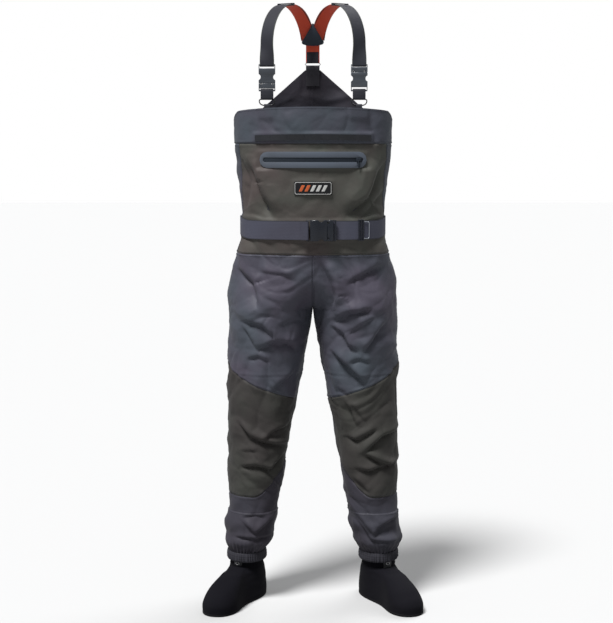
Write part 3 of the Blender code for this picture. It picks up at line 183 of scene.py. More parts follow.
class Effects:
    """The shader node groups that several finishes share, each made once."""

    def __init__(self) -> None:
        """Builds every group."""
        self.weave = self._weave()
        self.ribs = self._ribs()
        self.drift = self._drift()
        self.wear_and_highlight = self._wear_and_highlight()

    @staticmethod
    def _group(name: str, inputs: dict[str, str], outputs: Sequence[str]) -> bpy.types.NodeTree:
        """Makes an empty group.

        Args:
            name: the group's name.
            inputs: socket names with their types.
            outputs: names of the number outputs.

        Returns:
            The group, with its input and output nodes in place.
        """
        tree = bpy.data.node_groups.new(name, "ShaderNodeTree")
        for label, kind in inputs.items():
            tree.interface.new_socket(label, in_out="INPUT", socket_type=kind)
        for label in outputs:
            tree.interface.new_socket(label, in_out="OUTPUT", socket_type="NodeSocketFloat")
        tree.nodes.new("NodeGroupInput")
        tree.nodes.new("NodeGroupOutput")
        return tree

    @staticmethod
    def maths(tree: bpy.types.NodeTree, operation: str, *values: object) -> bpy.types.NodeSocket:
        """Adds a Math node fed by sockets or numbers.

        Args:
            tree: the node tree.
            operation: the Math node's operation.
            values: a socket or a number for each input in turn.

        Returns:
            The node's output socket.
        """
        node = tree.nodes.new("ShaderNodeMath")
        node.operation = operation
        for index, value in enumerate(values):
            if isinstance(value, (int, float)):
                node.inputs[index].default_value = value
            else:
                tree.links.new(value, node.inputs[index])
        return node.outputs[0]

    @staticmethod
    def noise(tree: bpy.types.NodeTree, vector: object, scale: float, detail: float = 2.0) -> object:
        """Adds a noise texture on a vector and returns its value socket."""
        node = tree.nodes.new("ShaderNodeTexNoise")
        node.inputs["Scale"].default_value = scale
        node.inputs["Detail"].default_value = detail
        tree.links.new(vector, node.inputs["Vector"])
        return node.outputs[0]

    def _weave(self) -> bpy.types.NodeTree:
        """A plain weave: one wave along the cloth crossed by one across it."""
        tree = self._group("plain_weave", {"Vector": "NodeSocketVector", "Pitch": "NodeSocketFloat"},
                           ("Height",))
        source = tree.nodes["Group Input"].outputs
        split = tree.nodes.new("ShaderNodeSeparateXYZ")
        tree.links.new(source["Vector"], split.inputs[0])
        waves = []
        for axis in (0, 1):
            turns = self.maths(tree, "DIVIDE", split.outputs[axis], source["Pitch"])
            waves.append(self.maths(tree, "SINE", self.maths(tree, "MULTIPLY", turns, math.tau / 2)))
        cross = self.maths(tree, "MULTIPLY", waves[0], waves[1])
        height = self.maths(tree, "MULTIPLY_ADD", cross, 0.5, 0.5)
        tree.links.new(height, tree.nodes["Group Output"].inputs["Height"])
        return tree

    def _ribs(self) -> bpy.types.NodeTree:
        """Webbing: ribs along the tape, each crossed by slanting picks."""
        tree = self._group("webbing_ribs", {"Vector": "NodeSocketVector", "Pitch": "NodeSocketFloat"},
                           ("Height",))
        source = tree.nodes["Group Input"].outputs
        split = tree.nodes.new("ShaderNodeSeparateXYZ")
        tree.links.new(source["Vector"], split.inputs[0])
        along = self.maths(tree, "DIVIDE", split.outputs[0], source["Pitch"])
        across = self.maths(tree, "DIVIDE", split.outputs[1], source["Pitch"])
        rib = self.maths(tree, "ABSOLUTE", self.maths(tree, "SINE", self.maths(
            tree, "MULTIPLY", across, math.pi / 2)))
        zigzag = self.maths(tree, "PINGPONG", across, 1.0)
        slant = self.maths(tree, "MULTIPLY_ADD", zigzag, 1.2, along)
        pick = self.maths(tree, "MULTIPLY_ADD", self.maths(tree, "SINE", self.maths(
            tree, "MULTIPLY", slant, math.tau)), 0.25, 0.5)
        height = self.maths(tree, "MULTIPLY", rib, pick)
        tree.links.new(height, tree.nodes["Group Output"].inputs["Height"])
        return tree

    def _drift(self) -> bpy.types.NodeTree:
        """Broad and fine drift of tone over a piece."""
        tree = self._group("tone_drift", {"Vector": "NodeSocketVector"}, ("Broad", "Fine"))
        source = tree.nodes["Group Input"].outputs["Vector"]
        broad = self.noise(tree, source, 6.5, 3.0)
        tight = self.maths(tree, "MULTIPLY_ADD", broad, 3.4, -1.2)
        clamped = self.maths(tree, "MINIMUM", self.maths(tree, "MAXIMUM", tight, 0.0), 1.0)
        fine = self.noise(tree, source, 260.0, 4.0)
        tree.links.new(clamped, tree.nodes["Group Output"].inputs["Broad"])
        tree.links.new(fine, tree.nodes["Group Output"].inputs["Fine"])
        return tree

    def _wear_and_highlight(self) -> bpy.types.NodeTree:
        """A mask of sharp edges, lightened partly as scuffing and partly as a painted highlight, broken up
        by a fine grain.
        """
        tree = self._group("edge_wear_and_highlight", {"Vector": "NodeSocketVector", "Amount": "NodeSocketFloat"},
                           ("Mask",))
        source = tree.nodes["Group Input"].outputs
        # Pointiness finds the sharp edges that catch the light; the mask paints a highlight there as well as
        # scuffing.
        point = tree.nodes.new("ShaderNodeNewGeometry").outputs["Pointiness"]
        sharp = self.maths(tree, "MULTIPLY_ADD", point, 9.0, -4.75)
        grain = self.noise(tree, source["Vector"], 420.0, 3.0)
        rubbed_and_lit = self.maths(tree, "MULTIPLY", sharp, grain)
        scaled = self.maths(tree, "MULTIPLY", rubbed_and_lit, source["Amount"])
        mask = self.maths(tree, "MINIMUM", self.maths(tree, "MAXIMUM", scaled, 0.0), 1.0)
        tree.links.new(mask, tree.nodes["Group Output"].inputs["Mask"])
        return tree


class Wardrobe:
    """Makes each finish's material the first time that a piece asks for it."""

    def __init__(self) -> None:
        """Starts with the shared groups and no materials."""
        self.effects = Effects()
        self.made: dict[str, bpy.types.Material] = {}

    def material(self, key: str) -> bpy.types.Material:
        """Returns the material of a finish."""
        if key not in self.made:
            self.made[key] = self._build(key, FINISHES[key])
        return self.made[key]

    def _blend(self, tree: bpy.types.NodeTree, mask: object, low: object, high: object) -> object:
        """Mixes two colours by a mask and returns the colour socket."""
        node = tree.nodes.new("ShaderNodeMix")
        node.data_type = "RGBA"
        tree.links.new(mask, node.inputs[0])
        for socket, value in ((node.inputs[6], low), (node.inputs[7], high)):
            if isinstance(value, tuple):
                socket.default_value = (*value, 1.0)
            else:
                tree.links.new(value, socket)
        return node.outputs[2]

    def _bump(self, tree: bpy.types.NodeTree, height: object, strength: float, distance: float,
              under: object = None) -> object:
        """Adds a bump over an optional normal and returns the normal socket."""
        node = tree.nodes.new("ShaderNodeBump")
        node.inputs["Strength"].default_value = strength
        node.inputs["Distance"].default_value = distance
        tree.links.new(height, node.inputs["Height"])
        if under is not None:
            tree.links.new(under, node.inputs["Normal"])
        return node.outputs[0]

    def _build(self, key: str, finish: Finish) -> bpy.types.Material:
        """Builds one finish's node tree.

        Args:
            key: the finish's name.
            finish: its tones, gloss and grain.

        Returns:
            The material.
        """
        material = bpy.data.materials.new(key)
        material.use_nodes = True
        tree = material.node_tree
        shader = tree.nodes["Principled BSDF"]
        coords = tree.nodes.new("ShaderNodeTexCoord")
        maths, grain = self.effects.maths, self.effects.noise
        drift = tree.nodes.new("ShaderNodeGroup")
        drift.node_tree = self.effects.drift
        tree.links.new(coords.outputs["Object"], drift.inputs["Vector"])
        # Broad noise mixes the two tones; for black_web the lighter second tone is painted sheen.
        colour = self._blend(tree, drift.outputs["Broad"], finish.tone, finish.drift)
        rough = maths(tree, "MULTIPLY_ADD", drift.outputs["Fine"], 0.14, finish.roughness - 0.07)
        # dark is a painted shade tone for the grooves between threads.
        dark = tuple(value * 0.62 for value in finish.tone)
        if finish.effect in (Effect.CLOTH, Effect.WEBBING):
            group = tree.nodes.new("ShaderNodeGroup")
            cloth = finish.effect is Effect.CLOTH
            group.node_tree = self.effects.weave if cloth else self.effects.ribs
            group.inputs["Pitch"].default_value = finish.pitch if cloth else 0.0019
            tree.links.new(coords.outputs["UV"], group.inputs["Vector"])
            height = group.outputs["Height"]
            # Painted shade: the low parts of the weave and the ribs are darkened toward dark, as shade in
            # the grooves between threads.
            groove = maths(tree, "MULTIPLY_ADD", height, -0.34 if cloth else -0.55, 0.34 if cloth else 0.5)
            colour = self._blend(tree, groove, colour, dark)
            crinkle = grain(tree, coords.outputs["Object"], 95.0 if cloth else 300.0, 3.0)
            normal = self._bump(tree, crinkle, 0.30 if cloth else 0.12, 0.0012 if cloth else 0.0003)
            normal = self._bump(tree, height, 0.45 if cloth else 0.7, 0.00012 if cloth else 0.0003, normal)
            shader.inputs["Sheen Weight"].default_value = 0.03
            shader.inputs["Sheen Roughness"].default_value = 0.5
            if finish.edge:
                split = tree.nodes.new("ShaderNodeSeparateXYZ")
                tree.links.new(coords.outputs["UV"], split.inputs[0])
                out = maths(tree, "ABSOLUTE", split.outputs[1])
                rim = maths(tree, "GREATER_THAN", out, finish.half_width - 0.0016)
                if finish.band:
                    place = tree.nodes.new("ShaderNodeSeparateXYZ")
                    tree.links.new(coords.outputs["Object"], place.inputs[0])
                    above = maths(tree, "GREATER_THAN", place.outputs[2], finish.band)
                    rim = maths(tree, "MAXIMUM", rim, above)
                colour = self._blend(tree, rim, colour, finish.edge)
        elif finish.effect is Effect.NEOPRENE:
            knit = grain(tree, coords.outputs["Object"], 900.0, 2.0)
            fuzz = grain(tree, coords.outputs["Object"], 2600.0, 1.0)
            specks = maths(tree, "GREATER_THAN", fuzz, 0.70)
            colour = self._blend(tree, maths(tree, "MULTIPLY", specks, 0.35), colour, (0.030, 0.030, 0.036))
            soft = grain(tree, coords.outputs["Object"], 38.0, 2.0)
            normal = self._bump(tree, soft, 0.25, 0.002)
            normal = self._bump(tree, knit, 0.5, 0.0004, normal)
            shader.inputs["Sheen Weight"].default_value = 0.015
        elif finish.effect is Effect.METAL:
            shader.inputs["Metallic"].default_value = 0.6
            brushed = grain(tree, coords.outputs["Object"], 1800.0, 2.0)
            normal = self._bump(tree, brushed, 0.2, 0.00006)
        elif finish.effect is Effect.THREAD:
            twist = grain(tree, coords.outputs["Object"], 1500.0, 2.0)
            normal = self._bump(tree, twist, 0.6, 0.0002)
        else:
            plastic = finish.effect is Effect.PLASTIC
            worn_and_lit = tree.nodes.new("ShaderNodeGroup")
            worn_and_lit.node_tree = self.effects.wear_and_highlight
            worn_and_lit.inputs["Amount"].default_value = 1.6 if plastic else 0.8
            tree.links.new(coords.outputs["Object"], worn_and_lit.inputs["Vector"])
            # Sharp edges go paler: partly scuffing, partly a painted highlight along the edges.
            pale = tuple(min(value * 2.0 + 0.02, 1.0) for value in finish.tone)
            colour = self._blend(tree, worn_and_lit.outputs["Mask"], colour, pale)
            pebble = grain(tree, coords.outputs["Object"], 1500.0 if plastic else 700.0, 2.0)
            normal = self._bump(tree, pebble, 0.22, 0.00008 if plastic else 0.00018)
        shader.inputs["Specular IOR Level"].default_value = finish.specular
        tree.links.new(colour, shader.inputs["Base Color"])
        tree.links.new(rough, shader.inputs["Roughness"])
        tree.links.new(normal, shader.inputs["Normal"])
        return material


# ---------------------------------------------------------------- bench


class Bench:
    """Steps of hand modelling that every sub-assembly uses."""

    def __init__(self) -> None:
        """Opens the wardrobe of finishes."""
        self.wardrobe = Wardrobe()

    @staticmethod
    def clear() -> None:
        """Deselects everything."""
        if bpy.context.object and bpy.context.object.mode != "OBJECT":
            bpy.ops.object.mode_set(mode="OBJECT")
        bpy.ops.object.select_all(action="DESELECT")

    def pick(self, piece: bpy.types.Object) -> None:
        """Selects one piece alone and makes it active."""
        self.clear()
        piece.select_set(True)
        bpy.context.view_layer.objects.active = piece

    def modify(self, piece: bpy.types.Object, kind: str, **settings: object) -> None:
        """Adds a modifier to a piece and applies it.

        Args:
            piece: the piece.
            kind: the modifier's type.
            settings: its values by name.
        """
        self.pick(piece)
        modifier = piece.modifiers.new(kind.lower(), kind)
        for name, value in settings.items():
            setattr(modifier, name, value)
        bpy.ops.object.modifier_apply(modifier=modifier.name)

    def sheet(self, name: str, points: np.ndarray, uvs: np.ndarray, outward: np.ndarray,
              wall: float, closed: bool = False, offset: float = -1.0) -> bpy.types.Object:
        """Lays a grid, moves its points into place and gives it a wall.

        Args:
            name: the piece's name.
            points: places, as rows by columns by 3.
            uvs: flat cloth coordinates in metres, as rows by columns by 2.
            outward: the outer side's direction at each point.
            wall: the thickness.
            closed: whether the last column meets the first.
            offset: which side of the points the wall grows to.

        Returns:
            The finished mesh object.
        """
        rows, columns = points.shape[:2]
        self.clear()
        bpy.ops.mesh.primitive_grid_add(x_subdivisions=columns - 1, y_subdivisions=rows - 1, size=1.0)
        piece = bpy.context.object
        piece.name = name
        mesh = piece.data
        flat = np.empty(len(mesh.vertices) * 3)
        mesh.vertices.foreach_get("co", flat)
        flat = flat.reshape(-1, 3)
        column = np.rint((flat[:, 0] + 0.5) * (columns - 1)).astype(int)
        row = np.rint((0.5 - flat[:, 1]) * (rows - 1)).astype(int)
        mesh.vertices.foreach_set("co", points[row, column].ravel())
        layer = mesh.uv_layers[0] if mesh.uv_layers else mesh.uv_layers.new(name="UVMap")
        corner = np.empty(len(mesh.loops), dtype=int)
        mesh.loops.foreach_get("vertex_index", corner)
        layer.data.foreach_set("uv", uvs[row, column][corner].ravel())
        mesh.update()
        normals = np.empty(len(mesh.vertices) * 3)
        mesh.vertices.foreach_get("normal", normals)
        facing = (normals.reshape(-1, 3) * outward[row, column]).sum()
        bpy.ops.object.mode_set(mode="EDIT")
        bpy.ops.mesh.select_all(action="SELECT")
        if closed:
            bpy.ops.mesh.remove_doubles(threshold=0.00002)
        if facing < 0:
            bpy.ops.mesh.flip_normals()
        bpy.ops.object.mode_set(mode="OBJECT")
        self.modify(piece, "SOLIDIFY", thickness=wall, offset=offset)
        bpy.ops.object.shade_smooth_by_angle(angle=math.radians(50))
        return piece

    def copy_node(self, node: str, name: str) -> bpy.types.Object:
        """Copies a frame node as loose work, merged into a closed mesh with clean faces."""
        self.pick(frame["nodes"][node])
        bpy.ops.object.duplicate()
        piece = bpy.context.object
        piece.name = name
        for key in list(piece.keys()):
            del piece[key]
        piece.parent = None
        piece.data.materials.clear()
        bpy.ops.object.mode_set(mode="EDIT")
        bpy.ops.mesh.select_all(action="SELECT")
        bpy.ops.mesh.remove_doubles(threshold=0.00001)
        bpy.ops.mesh.dissolve_limited(angle_limit=math.radians(3))
        bpy.ops.object.mode_set(mode="OBJECT")
        return piece

    def dress(self, piece: bpy.types.Object, key: str, body: str = "garment",
              replaced: Sequence[str] = ()) -> bpy.types.Object:
        """Gives a piece its finish, its body and the nodes that it stands for.

        Args:
            piece: the piece.
            key: the finish's name.
            body: the body that it moves with.
            replaced: the frame nodes that it replaces.

        Returns:
            The same piece.
        """
        piece.data.materials.clear()
        piece.data.materials.append(self.wardrobe.material(key))
        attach(piece, body)
        for node in replaced:
            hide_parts(node)
        LOG.info("%s: %s on %s", piece.name, key, body)
        return piece

    def join(self, pieces: Sequence[bpy.types.Object], name: str) -> bpy.types.Object:
        """Joins pieces into one and names it."""
        self.clear()
        for piece in pieces:
            piece.select_set(True)
        bpy.context.view_layer.objects.active = pieces[0]
        bpy.ops.object.join()
        pieces[0].name = name
        return pieces[0]

    def wire(self, name: str, path: Sequence[Vector], radius: float) -> bpy.types.Object:
        """Bends a round wire along a path and closes its ends.

        Args:
            name: the piece's name.
            path: the wire's middle line.
            radius: half of its thickness.

        Returns:
            The wire.
        """
        self.clear()
        first = (path[1] - path[0]).normalized()
        bpy.ops.mesh.primitive_circle_add(vertices=12, radius=radius, fill_type="NGON", location=path[0],
                                          rotation=first.to_track_quat("Z", "Y").to_euler())
        piece = bpy.context.object
        piece.name = name
        bpy.ops.object.transform_apply(location=True, rotation=True, scale=True)
        bpy.ops.object.mode_set(mode="EDIT")
        bpy.ops.mesh.select_all(action="SELECT")
        heading = first
        for here, there in zip(path, path[1:]):
            bpy.ops.mesh.extrude_region_move(TRANSFORM_OT_translate={"value": there - here})
            onward = (there - here).normalized()
            turn = heading.rotation_difference(onward)
            axis, angle = turn.to_axis_angle()
            if angle > 0.0001:
                bpy.ops.object.mode_set(mode="OBJECT")
                turned = Matrix.Rotation(angle, 4, axis)
                spin = Matrix.Translation(there) @ turned @ Matrix.Translation(-there)
                for vertex in piece.data.vertices:
                    if vertex.select:
                        vertex.co = spin @ vertex.co
                bpy.ops.object.mode_set(mode="EDIT")
            heading = onward
        bpy.ops.mesh.select_all(action="SELECT")
        bpy.ops.mesh.normals_make_consistent(inside=False)
        bpy.ops.object.mode_set(mode="OBJECT")
        bpy.ops.object.shade_smooth_by_angle(angle=math.radians(50))
        return piece

    def lay(self, name: str, levels: Sequence[float], shares: Sequence[float], spot: Callable, wall: float,
            closed: bool = False) -> bpy.types.Object:
        """Lays a sheet row by row.

        Args:
            name: the piece's name.
            levels: a value for each row.
            shares: a value for each column.
            spot: gives the place, cloth coordinates and outer direction at a level and a share.
            wall: the thickness.
            closed: whether the last column meets the first.

        Returns:
            The finished mesh object.
        """
        grid = [[spot(level, share) for share in shares] for level in levels]
        points, uvs, outs = (np.array([[tuple(cell[k]) for cell in row] for row in grid]) for k in range(3))
        return self.sheet(name, points, uvs, outs, wall, closed=closed)


# ---------------------------------------------------------------- body form


@dataclass(frozen=True)
class BodyForm:
    """The garment's outer surface: a four-centre oval that divides into two oval legs."""

    body_y: float = 0.0235
    front_radius: float = 0.370
    front_depth: float = 0.125
    axis_y: float = 0.2685
    crotch: float = 0.822
    waist: float = 0.975
    yoke: float = 1.272
    chest_top: float = 1.369
    chest_side: float = 1.338
    high_back: float = 1.478
    torso: tuple = ((0.822, 0.239, 0.138), (0.870, 0.239, 0.150), (0.973, 0.217, 0.138),
                    (1.023, 0.200, 0.120), (1.070, 0.197, 0.114), (1.124, 0.204, 0.113),
                    (1.300, 0.218, 0.116), (1.500, 0.218, 0.116))
    legs: tuple = ((0.704, 0.126, 0.1145, 0.113, 0.004), (0.590, 0.138, 0.1040, 0.103, 0.002),
                   (0.480, 0.150, 0.0950, 0.094, 0.000), (0.370, 0.159, 0.0850, 0.086, -0.002),
                   (0.256, 0.168, 0.0740, 0.077, -0.004), (0.150, 0.183, 0.0500, 0.060, -0.006))
    guard: tuple = ((0.256, 0.168, 0.0748, 0.0778, -0.004), (0.215, 0.174, 0.0760, 0.0800, -0.005),
                    (0.170, 0.181, 0.0690, 0.0750, -0.006), (0.139, 0.186, 0.0545, 0.0640, -0.006))

    @staticmethod
    def at_height(stations: Sequence[Sequence[float]], height: float) -> list[float]:
        """The stations' values at a height, on a curve through each of them."""
        rows = sorted(stations)
        height = min(max(height, rows[0][0]), rows[-1][0])
        last = len(rows) - 1
        index = max(i for i in range(last) if rows[i][0] <= height)
        low, high = rows[index], rows[index + 1]
        before, after = rows[max(index - 1, 0)], rows[min(index + 2, last)]
        span = high[0] - low[0]
        share = (height - low[0]) / span
        square, cube = share * share, share**3
        values = []
        for k in range(1, len(low)):
            leave = (high[k] - before[k]) / (high[0] - before[0]) * span
            arrive = (after[k] - low[k]) / (after[0] - low[0]) * span
            values.append((2 * cube - 3 * square + 1) * low[k] + (cube - 2 * square + share) * leave
                          + (3 * square - 2 * cube) * high[k] + (cube - square) * arrive)
        return values

    def quarter(self, half_width: float, depth: float) -> tuple[float, float]:
        """The broad arc's angle and the side arc's radius of a quarter of the oval."""
        rise = self.front_radius - depth
        spare = 2 * (self.front_radius - half_width)
        small = (self.front_radius**2 - half_width**2 - rise**2) / spare
        return math.atan2(half_width - small, rise), small

    def quarter_point(self, half_width: float, depth: float, share: float,
                      offset: float) -> tuple[float, float]:
        """A point a share of the way from the middle of the front to the side."""
        turn, small = self.quarter(half_width, depth)
        broad = self.front_radius * turn
        length = share * (broad + small * (math.pi / 2 - turn))
        if length <= broad:
            angle = length / self.front_radius
            reach = self.front_radius + offset
            return reach * math.sin(angle), self.front_radius - depth - reach * math.cos(angle)
        angle = turn + (length - broad) / small
        reach = small + offset
        return half_width - small + reach * math.sin(angle), -reach * math.cos(angle)

    def torso_point(self, height: float, share: float, offset: float = 0.0) -> Vector:
        """share 0 is the middle of the front, 0.5 the side at +x and 1 the back."""
        half_width, back_depth = self.at_height(self.torso, height)
        around = share % 2.0
        side = 1.0 if around <= 1.0 else -1.0
        around = around if around <= 1.0 else 2.0 - around
        if around <= 0.5:
            x, y = self.quarter_point(half_width, self.front_depth, around * 2.0, offset)
        else:
            x, y = self.quarter_point(half_width, back_depth, (1.0 - around) * 2.0, offset)
            y = -y
        return Vector((side * x, self.body_y + y, height))

    def torso_place(self, height: float, share: float) -> tuple[Vector, Vector]:
        """A torso point and its outward direction."""
        point = self.torso_point(height, share)
        return point, (self.torso_point(height, share, 0.001) - point).normalized()

    def leg_stations(self) -> tuple:
        """The leg's stations with the one at the crotch that meets the torso."""
        half_width, back_depth = self.at_height(self.torso, self.crotch)
        half = half_width / 2
        depth = (self.front_depth + back_depth) / 2
        return ((self.crotch, half, half, depth, depth - self.front_depth), *self.legs)

    def oval(self, section: Sequence[float], angle: float, height: float) -> tuple[Vector, Vector]:
        """A point of an oval section and its outward direction."""
        centre_x, half_width, half_depth, centre_y = section
        out = Vector((math.cos(angle) / half_width, math.sin(angle) / half_depth, 0.0)).normalized()
        point = Vector((centre_x + half_width * math.cos(angle),
                        self.body_y + centre_y + half_depth * math.sin(angle), height))
        return point, out

    def leg_place(self, height: float, share: float) -> tuple[Vector, Vector]:
        """share 0 is the front middle or the inseam, 0.5 the outer side, 1 the back middle."""
        if height <= self.crotch:
            section = self.at_height(self.leg_stations(), height)
            return self.oval(section, math.pi * (1 + 2 * share), height)
        rise = (height - self.crotch) / (self.waist - self.crotch)
        cut = math.acos(max(0.0, min(1.0, 1.0 - rise)))
        half_width, back_depth = self.at_height(self.torso, height)
        half = half_width / (1.0 + math.cos(cut))
        angle = math.pi + cut + share * 2 * (math.pi - cut)
        depth = (self.front_depth + back_depth) / 2
        lower, low_out = self.oval((half_width - half, half, depth, depth - self.front_depth), angle, height)
        upper, high_out = self.torso_place(height, share)
        point = lower.lerp(upper, smooth(rise))
        point.x = max(point.x, 0.0)
        return point, low_out.lerp(high_out, smooth(rise)).normalized()

    def arc_point(self, along: float, height: float, out: float = 0.0) -> Vector:
        """A point on the chest's front, a length along from its middle and a distance out."""
        angle = along / self.front_radius
        reach = self.front_radius + out
        return Vector((reach * math.sin(angle), self.axis_y - reach * math.cos(angle), height))

    def arc_frame(self, along: float, height: float, out: float = 0.0) -> Matrix:
        """A frame on the chest's front: first axis along it, second up, third out."""
        angle = along / self.front_radius
        turn = Matrix.Rotation(angle, 4, "Z") @ Matrix.Rotation(math.pi / 2, 4, "X")
        return Matrix.Translation(self.arc_point(along, height, out)) @ turn


FORM = BodyForm()


# ---------------------------------------------------------------- folds


@dataclass(frozen=True)
class Crease:
    """One fold line across the cloth, in metres across the front and above the ground."""

    depth: float
    width: float
    path: tuple[tuple[float, float], ...]

    def height(self, across: np.ndarray, up: np.ndarray) -> np.ndarray:
        """How far the fold moves each point out: a sharp valley with a roll above it."""
        best = np.full(across.shape, 1e9)
        signed = np.zeros(across.shape)
        run = np.zeros(across.shape)
        lapse = np.zeros(across.shape)
        travelled = 0.0
        flip = 1.0 if self.path[-1][0] >= self.path[0][0] else -1.0
        for (x0, z0), (x1, z1) in zip(self.path, self.path[1:]):
            dx, dz = x1 - x0, z1 - z0
            length = math.hypot(dx, dz)
            t = np.clip(((across - x0) * dx + (up - z0) * dz) / length**2, 0.0, 1.0)
            gap_x, gap_z = across - (x0 + t * dx), up - (z0 + t * dz)
            distance = np.hypot(gap_x, gap_z)
            closer = distance < best
            best = np.where(closer, distance, best)
            level = (gap_z * dx - gap_x * dz) * flip / length
            signed = np.where(closer, np.sign(level) * distance, signed)
            lapse = np.where(closer, np.sqrt(np.maximum(distance**2 - level**2, 0.0)), lapse)
            run = np.where(closer, travelled + t * length, run)
            travelled += length
        ease = 0.34 * travelled
        taken = smooth(travelled / 0.12)
        taper = smooth_array(run / ease + 0.25) * smooth_array((travelled - run) / ease + 0.25)
        q = signed / (1.45 * self.width)
        crest = np.maximum(q, 0.0) / 0.75
        roll = crest**2 * np.exp(2.0 * (1.0 - crest))
        valley = np.exp(-np.abs(q) / np.where(q > 0, 0.28, 0.62))
        ends = np.exp(-((lapse / 0.010) ** 2))
        return 1.35 * self.depth * taken * taper * ends * (0.85 * roll - valley)


@dataclass
class Folds:
    """The cloth's relief: set creases on the front, seeded ones behind, and a crumple all over."""

    seed: int = 7
    front: list[Crease] = field(default_factory=list)
    back: list[Crease] = field(default_factory=list)

    def __post_init__(self) -> None:
        """Lays out the front's creases and draws the back's."""
        right_leg = (
            (6, 11, (-0.197, 0.791), (-0.141, 0.781), (-0.106, 0.749)),
            (5, 10, (-0.199, 0.778), (-0.154, 0.714)),
            (7, 12, (-0.147, 0.714), (-0.109, 0.733), (-0.065, 0.730), (-0.039, 0.717)),
            (4, 9, (-0.090, 0.781), (-0.058, 0.793), (-0.026, 0.794)),
            (6, 11, (-0.183, 0.686), (-0.151, 0.695), (-0.116, 0.681)),
            (3, 12, (-0.152, 0.928), (-0.081, 0.920), (-0.046, 0.903)),
            (7, 16, (-0.218, 0.934), (-0.170, 0.893), (-0.151, 0.829)),
            (5, 12, (-0.109, 0.600), (-0.058, 0.634), (-0.039, 0.654)),
            (8, 11, (-0.212, 0.510), (-0.179, 0.473), (-0.137, 0.456), (-0.059, 0.437)),
            (6, 10, (-0.141, 0.456), (-0.103, 0.485), (-0.061, 0.498)),
            (5, 8, (-0.206, 0.431), (-0.150, 0.431)),
            (7, 9, (-0.205, 0.384), (-0.158, 0.389), (-0.111, 0.376), (-0.065, 0.422)),
            (4, 8, (-0.200, 0.242), (-0.158, 0.249), (-0.128, 0.240)),
            (6, 9, (-0.200, 0.233), (-0.162, 0.196), (-0.124, 0.217), (-0.087, 0.250)),
            (5, 8, (-0.225, 0.186), (-0.158, 0.180), (-0.100, 0.186)),
        )
        left_leg = (
            (5, 13, (0.095, 0.896), (0.137, 0.918), (0.197, 0.941)),
            (8, 13, (0.054, 0.791), (0.098, 0.816), (0.162, 0.824)),
            (6, 10, (0.044, 0.778), (0.076, 0.756), (0.092, 0.727), (0.121, 0.710)),
            (4, 9, (0.095, 0.759), (0.133, 0.785), (0.169, 0.803)),
            (7, 13, (0.140, 0.708), (0.172, 0.746), (0.204, 0.791)),
            (6, 11, (0.098, 0.679), (0.124, 0.687), (0.159, 0.679)),
            (9, 14, (0.044, 0.708), (0.082, 0.670), (0.140, 0.618)),
            (7, 14, (0.018, 0.960), (0.044, 0.906), (0.052, 0.868), (0.044, 0.826)),
            (5, 9, (0.063, 0.606), (0.096, 0.584)),
            (6, 10, (0.086, 0.569), (0.115, 0.502)),
            (5, 9, (0.102, 0.565), (0.140, 0.514)),
            (6, 10, (0.086, 0.468), (0.115, 0.460), (0.178, 0.493)),
            (7, 10, (0.140, 0.426), (0.199, 0.473), (0.253, 0.482)),
            (8, 10, (0.136, 0.424), (0.182, 0.401), (0.226, 0.382)),
            (6, 9, (0.115, 0.380), (0.157, 0.374), (0.211, 0.389), (0.251, 0.389)),
            (5, 10, (0.107, 0.355), (0.153, 0.313)),
            (6, 9, (0.119, 0.250), (0.173, 0.186)),
            (6, 9, (0.170, 0.186), (0.190, 0.217), (0.249, 0.242)),
            (5, 8, (0.127, 0.225), (0.157, 0.178), (0.241, 0.170)),
        )
        chest = (
            (11, 24, (-0.178, 1.225), (-0.140, 1.125), (-0.108, 1.075)),
            (12, 25, (0.196, 1.220), (0.155, 1.125), (0.092, 1.080)),
            (5, 20, (-0.205, 1.245), (-0.178, 1.170), (-0.185, 1.090)),
            (5, 20, (0.205, 1.150), (0.165, 1.100), (0.130, 1.070)),
            (3, 14, (-0.085, 1.352), (-0.070, 1.318), (-0.060, 1.300)),
            (3, 13, (-0.110, 1.348), (-0.108, 1.305)),
            (3, 13, (0.100, 1.350), (0.088, 1.315), (0.082, 1.300)),
            (3, 16, (0.150, 1.345), (0.160, 1.300), (0.170, 1.262)),
            (3, 15, (-0.165, 1.330), (-0.158, 1.290)),
            (3, 8, (-0.080, 1.018), (-0.066, 1.004), (-0.056, 0.980)),
            (3, 7, (-0.052, 1.016), (-0.040, 0.992)),
            (3, 8, (0.074, 1.016), (0.084, 0.998), (0.080, 0.978)),
            (3, 7, (0.104, 1.018), (0.112, 0.990)),
        )
        for depth, width, *path in (*right_leg, *left_leg, *chest):
            self.front.append(Crease(depth / 1000, width / 1000, tuple(path)))
        draw = random.Random(self.seed)
        for side in (1, -1):
            for step in range(17):
                up = mix(0.20, 0.93, step / 16) + draw.uniform(-0.012, 0.012)
                middle = side * mix(0.185, 0.105, smooth((up - 0.15) / 0.7))
                reach = draw.uniform(0.035, 0.075)
                slope = draw.uniform(-0.5, 0.5)
                bend = draw.uniform(-0.015, 0.015)
                shift = draw.uniform(-0.03, 0.03)
                path = ((middle + shift - reach, up - slope * reach), (middle + shift, up + bend),
                        (middle + shift + reach, up + slope * reach))
                self.back.append(Crease(draw.uniform(0.004, 0.008), draw.uniform(0.009, 0.014), path))
        for middle in (-0.135, -0.045, 0.030, 0.150):
            across = middle + draw.uniform(-0.02, 0.02)
            lean = draw.uniform(-0.06, 0.06)
            top, foot = draw.uniform(1.16, 1.30), draw.uniform(1.075, 1.11)
            bend = (across + 0.5 * lean + draw.uniform(-0.02, 0.02), mix(foot, top, draw.uniform(0.4, 0.6)))
            self.back.append(Crease(draw.uniform(0.002, 0.005), draw.uniform(0.018, 0.032),
                                    ((across, top), bend, (across + lean, foot))))

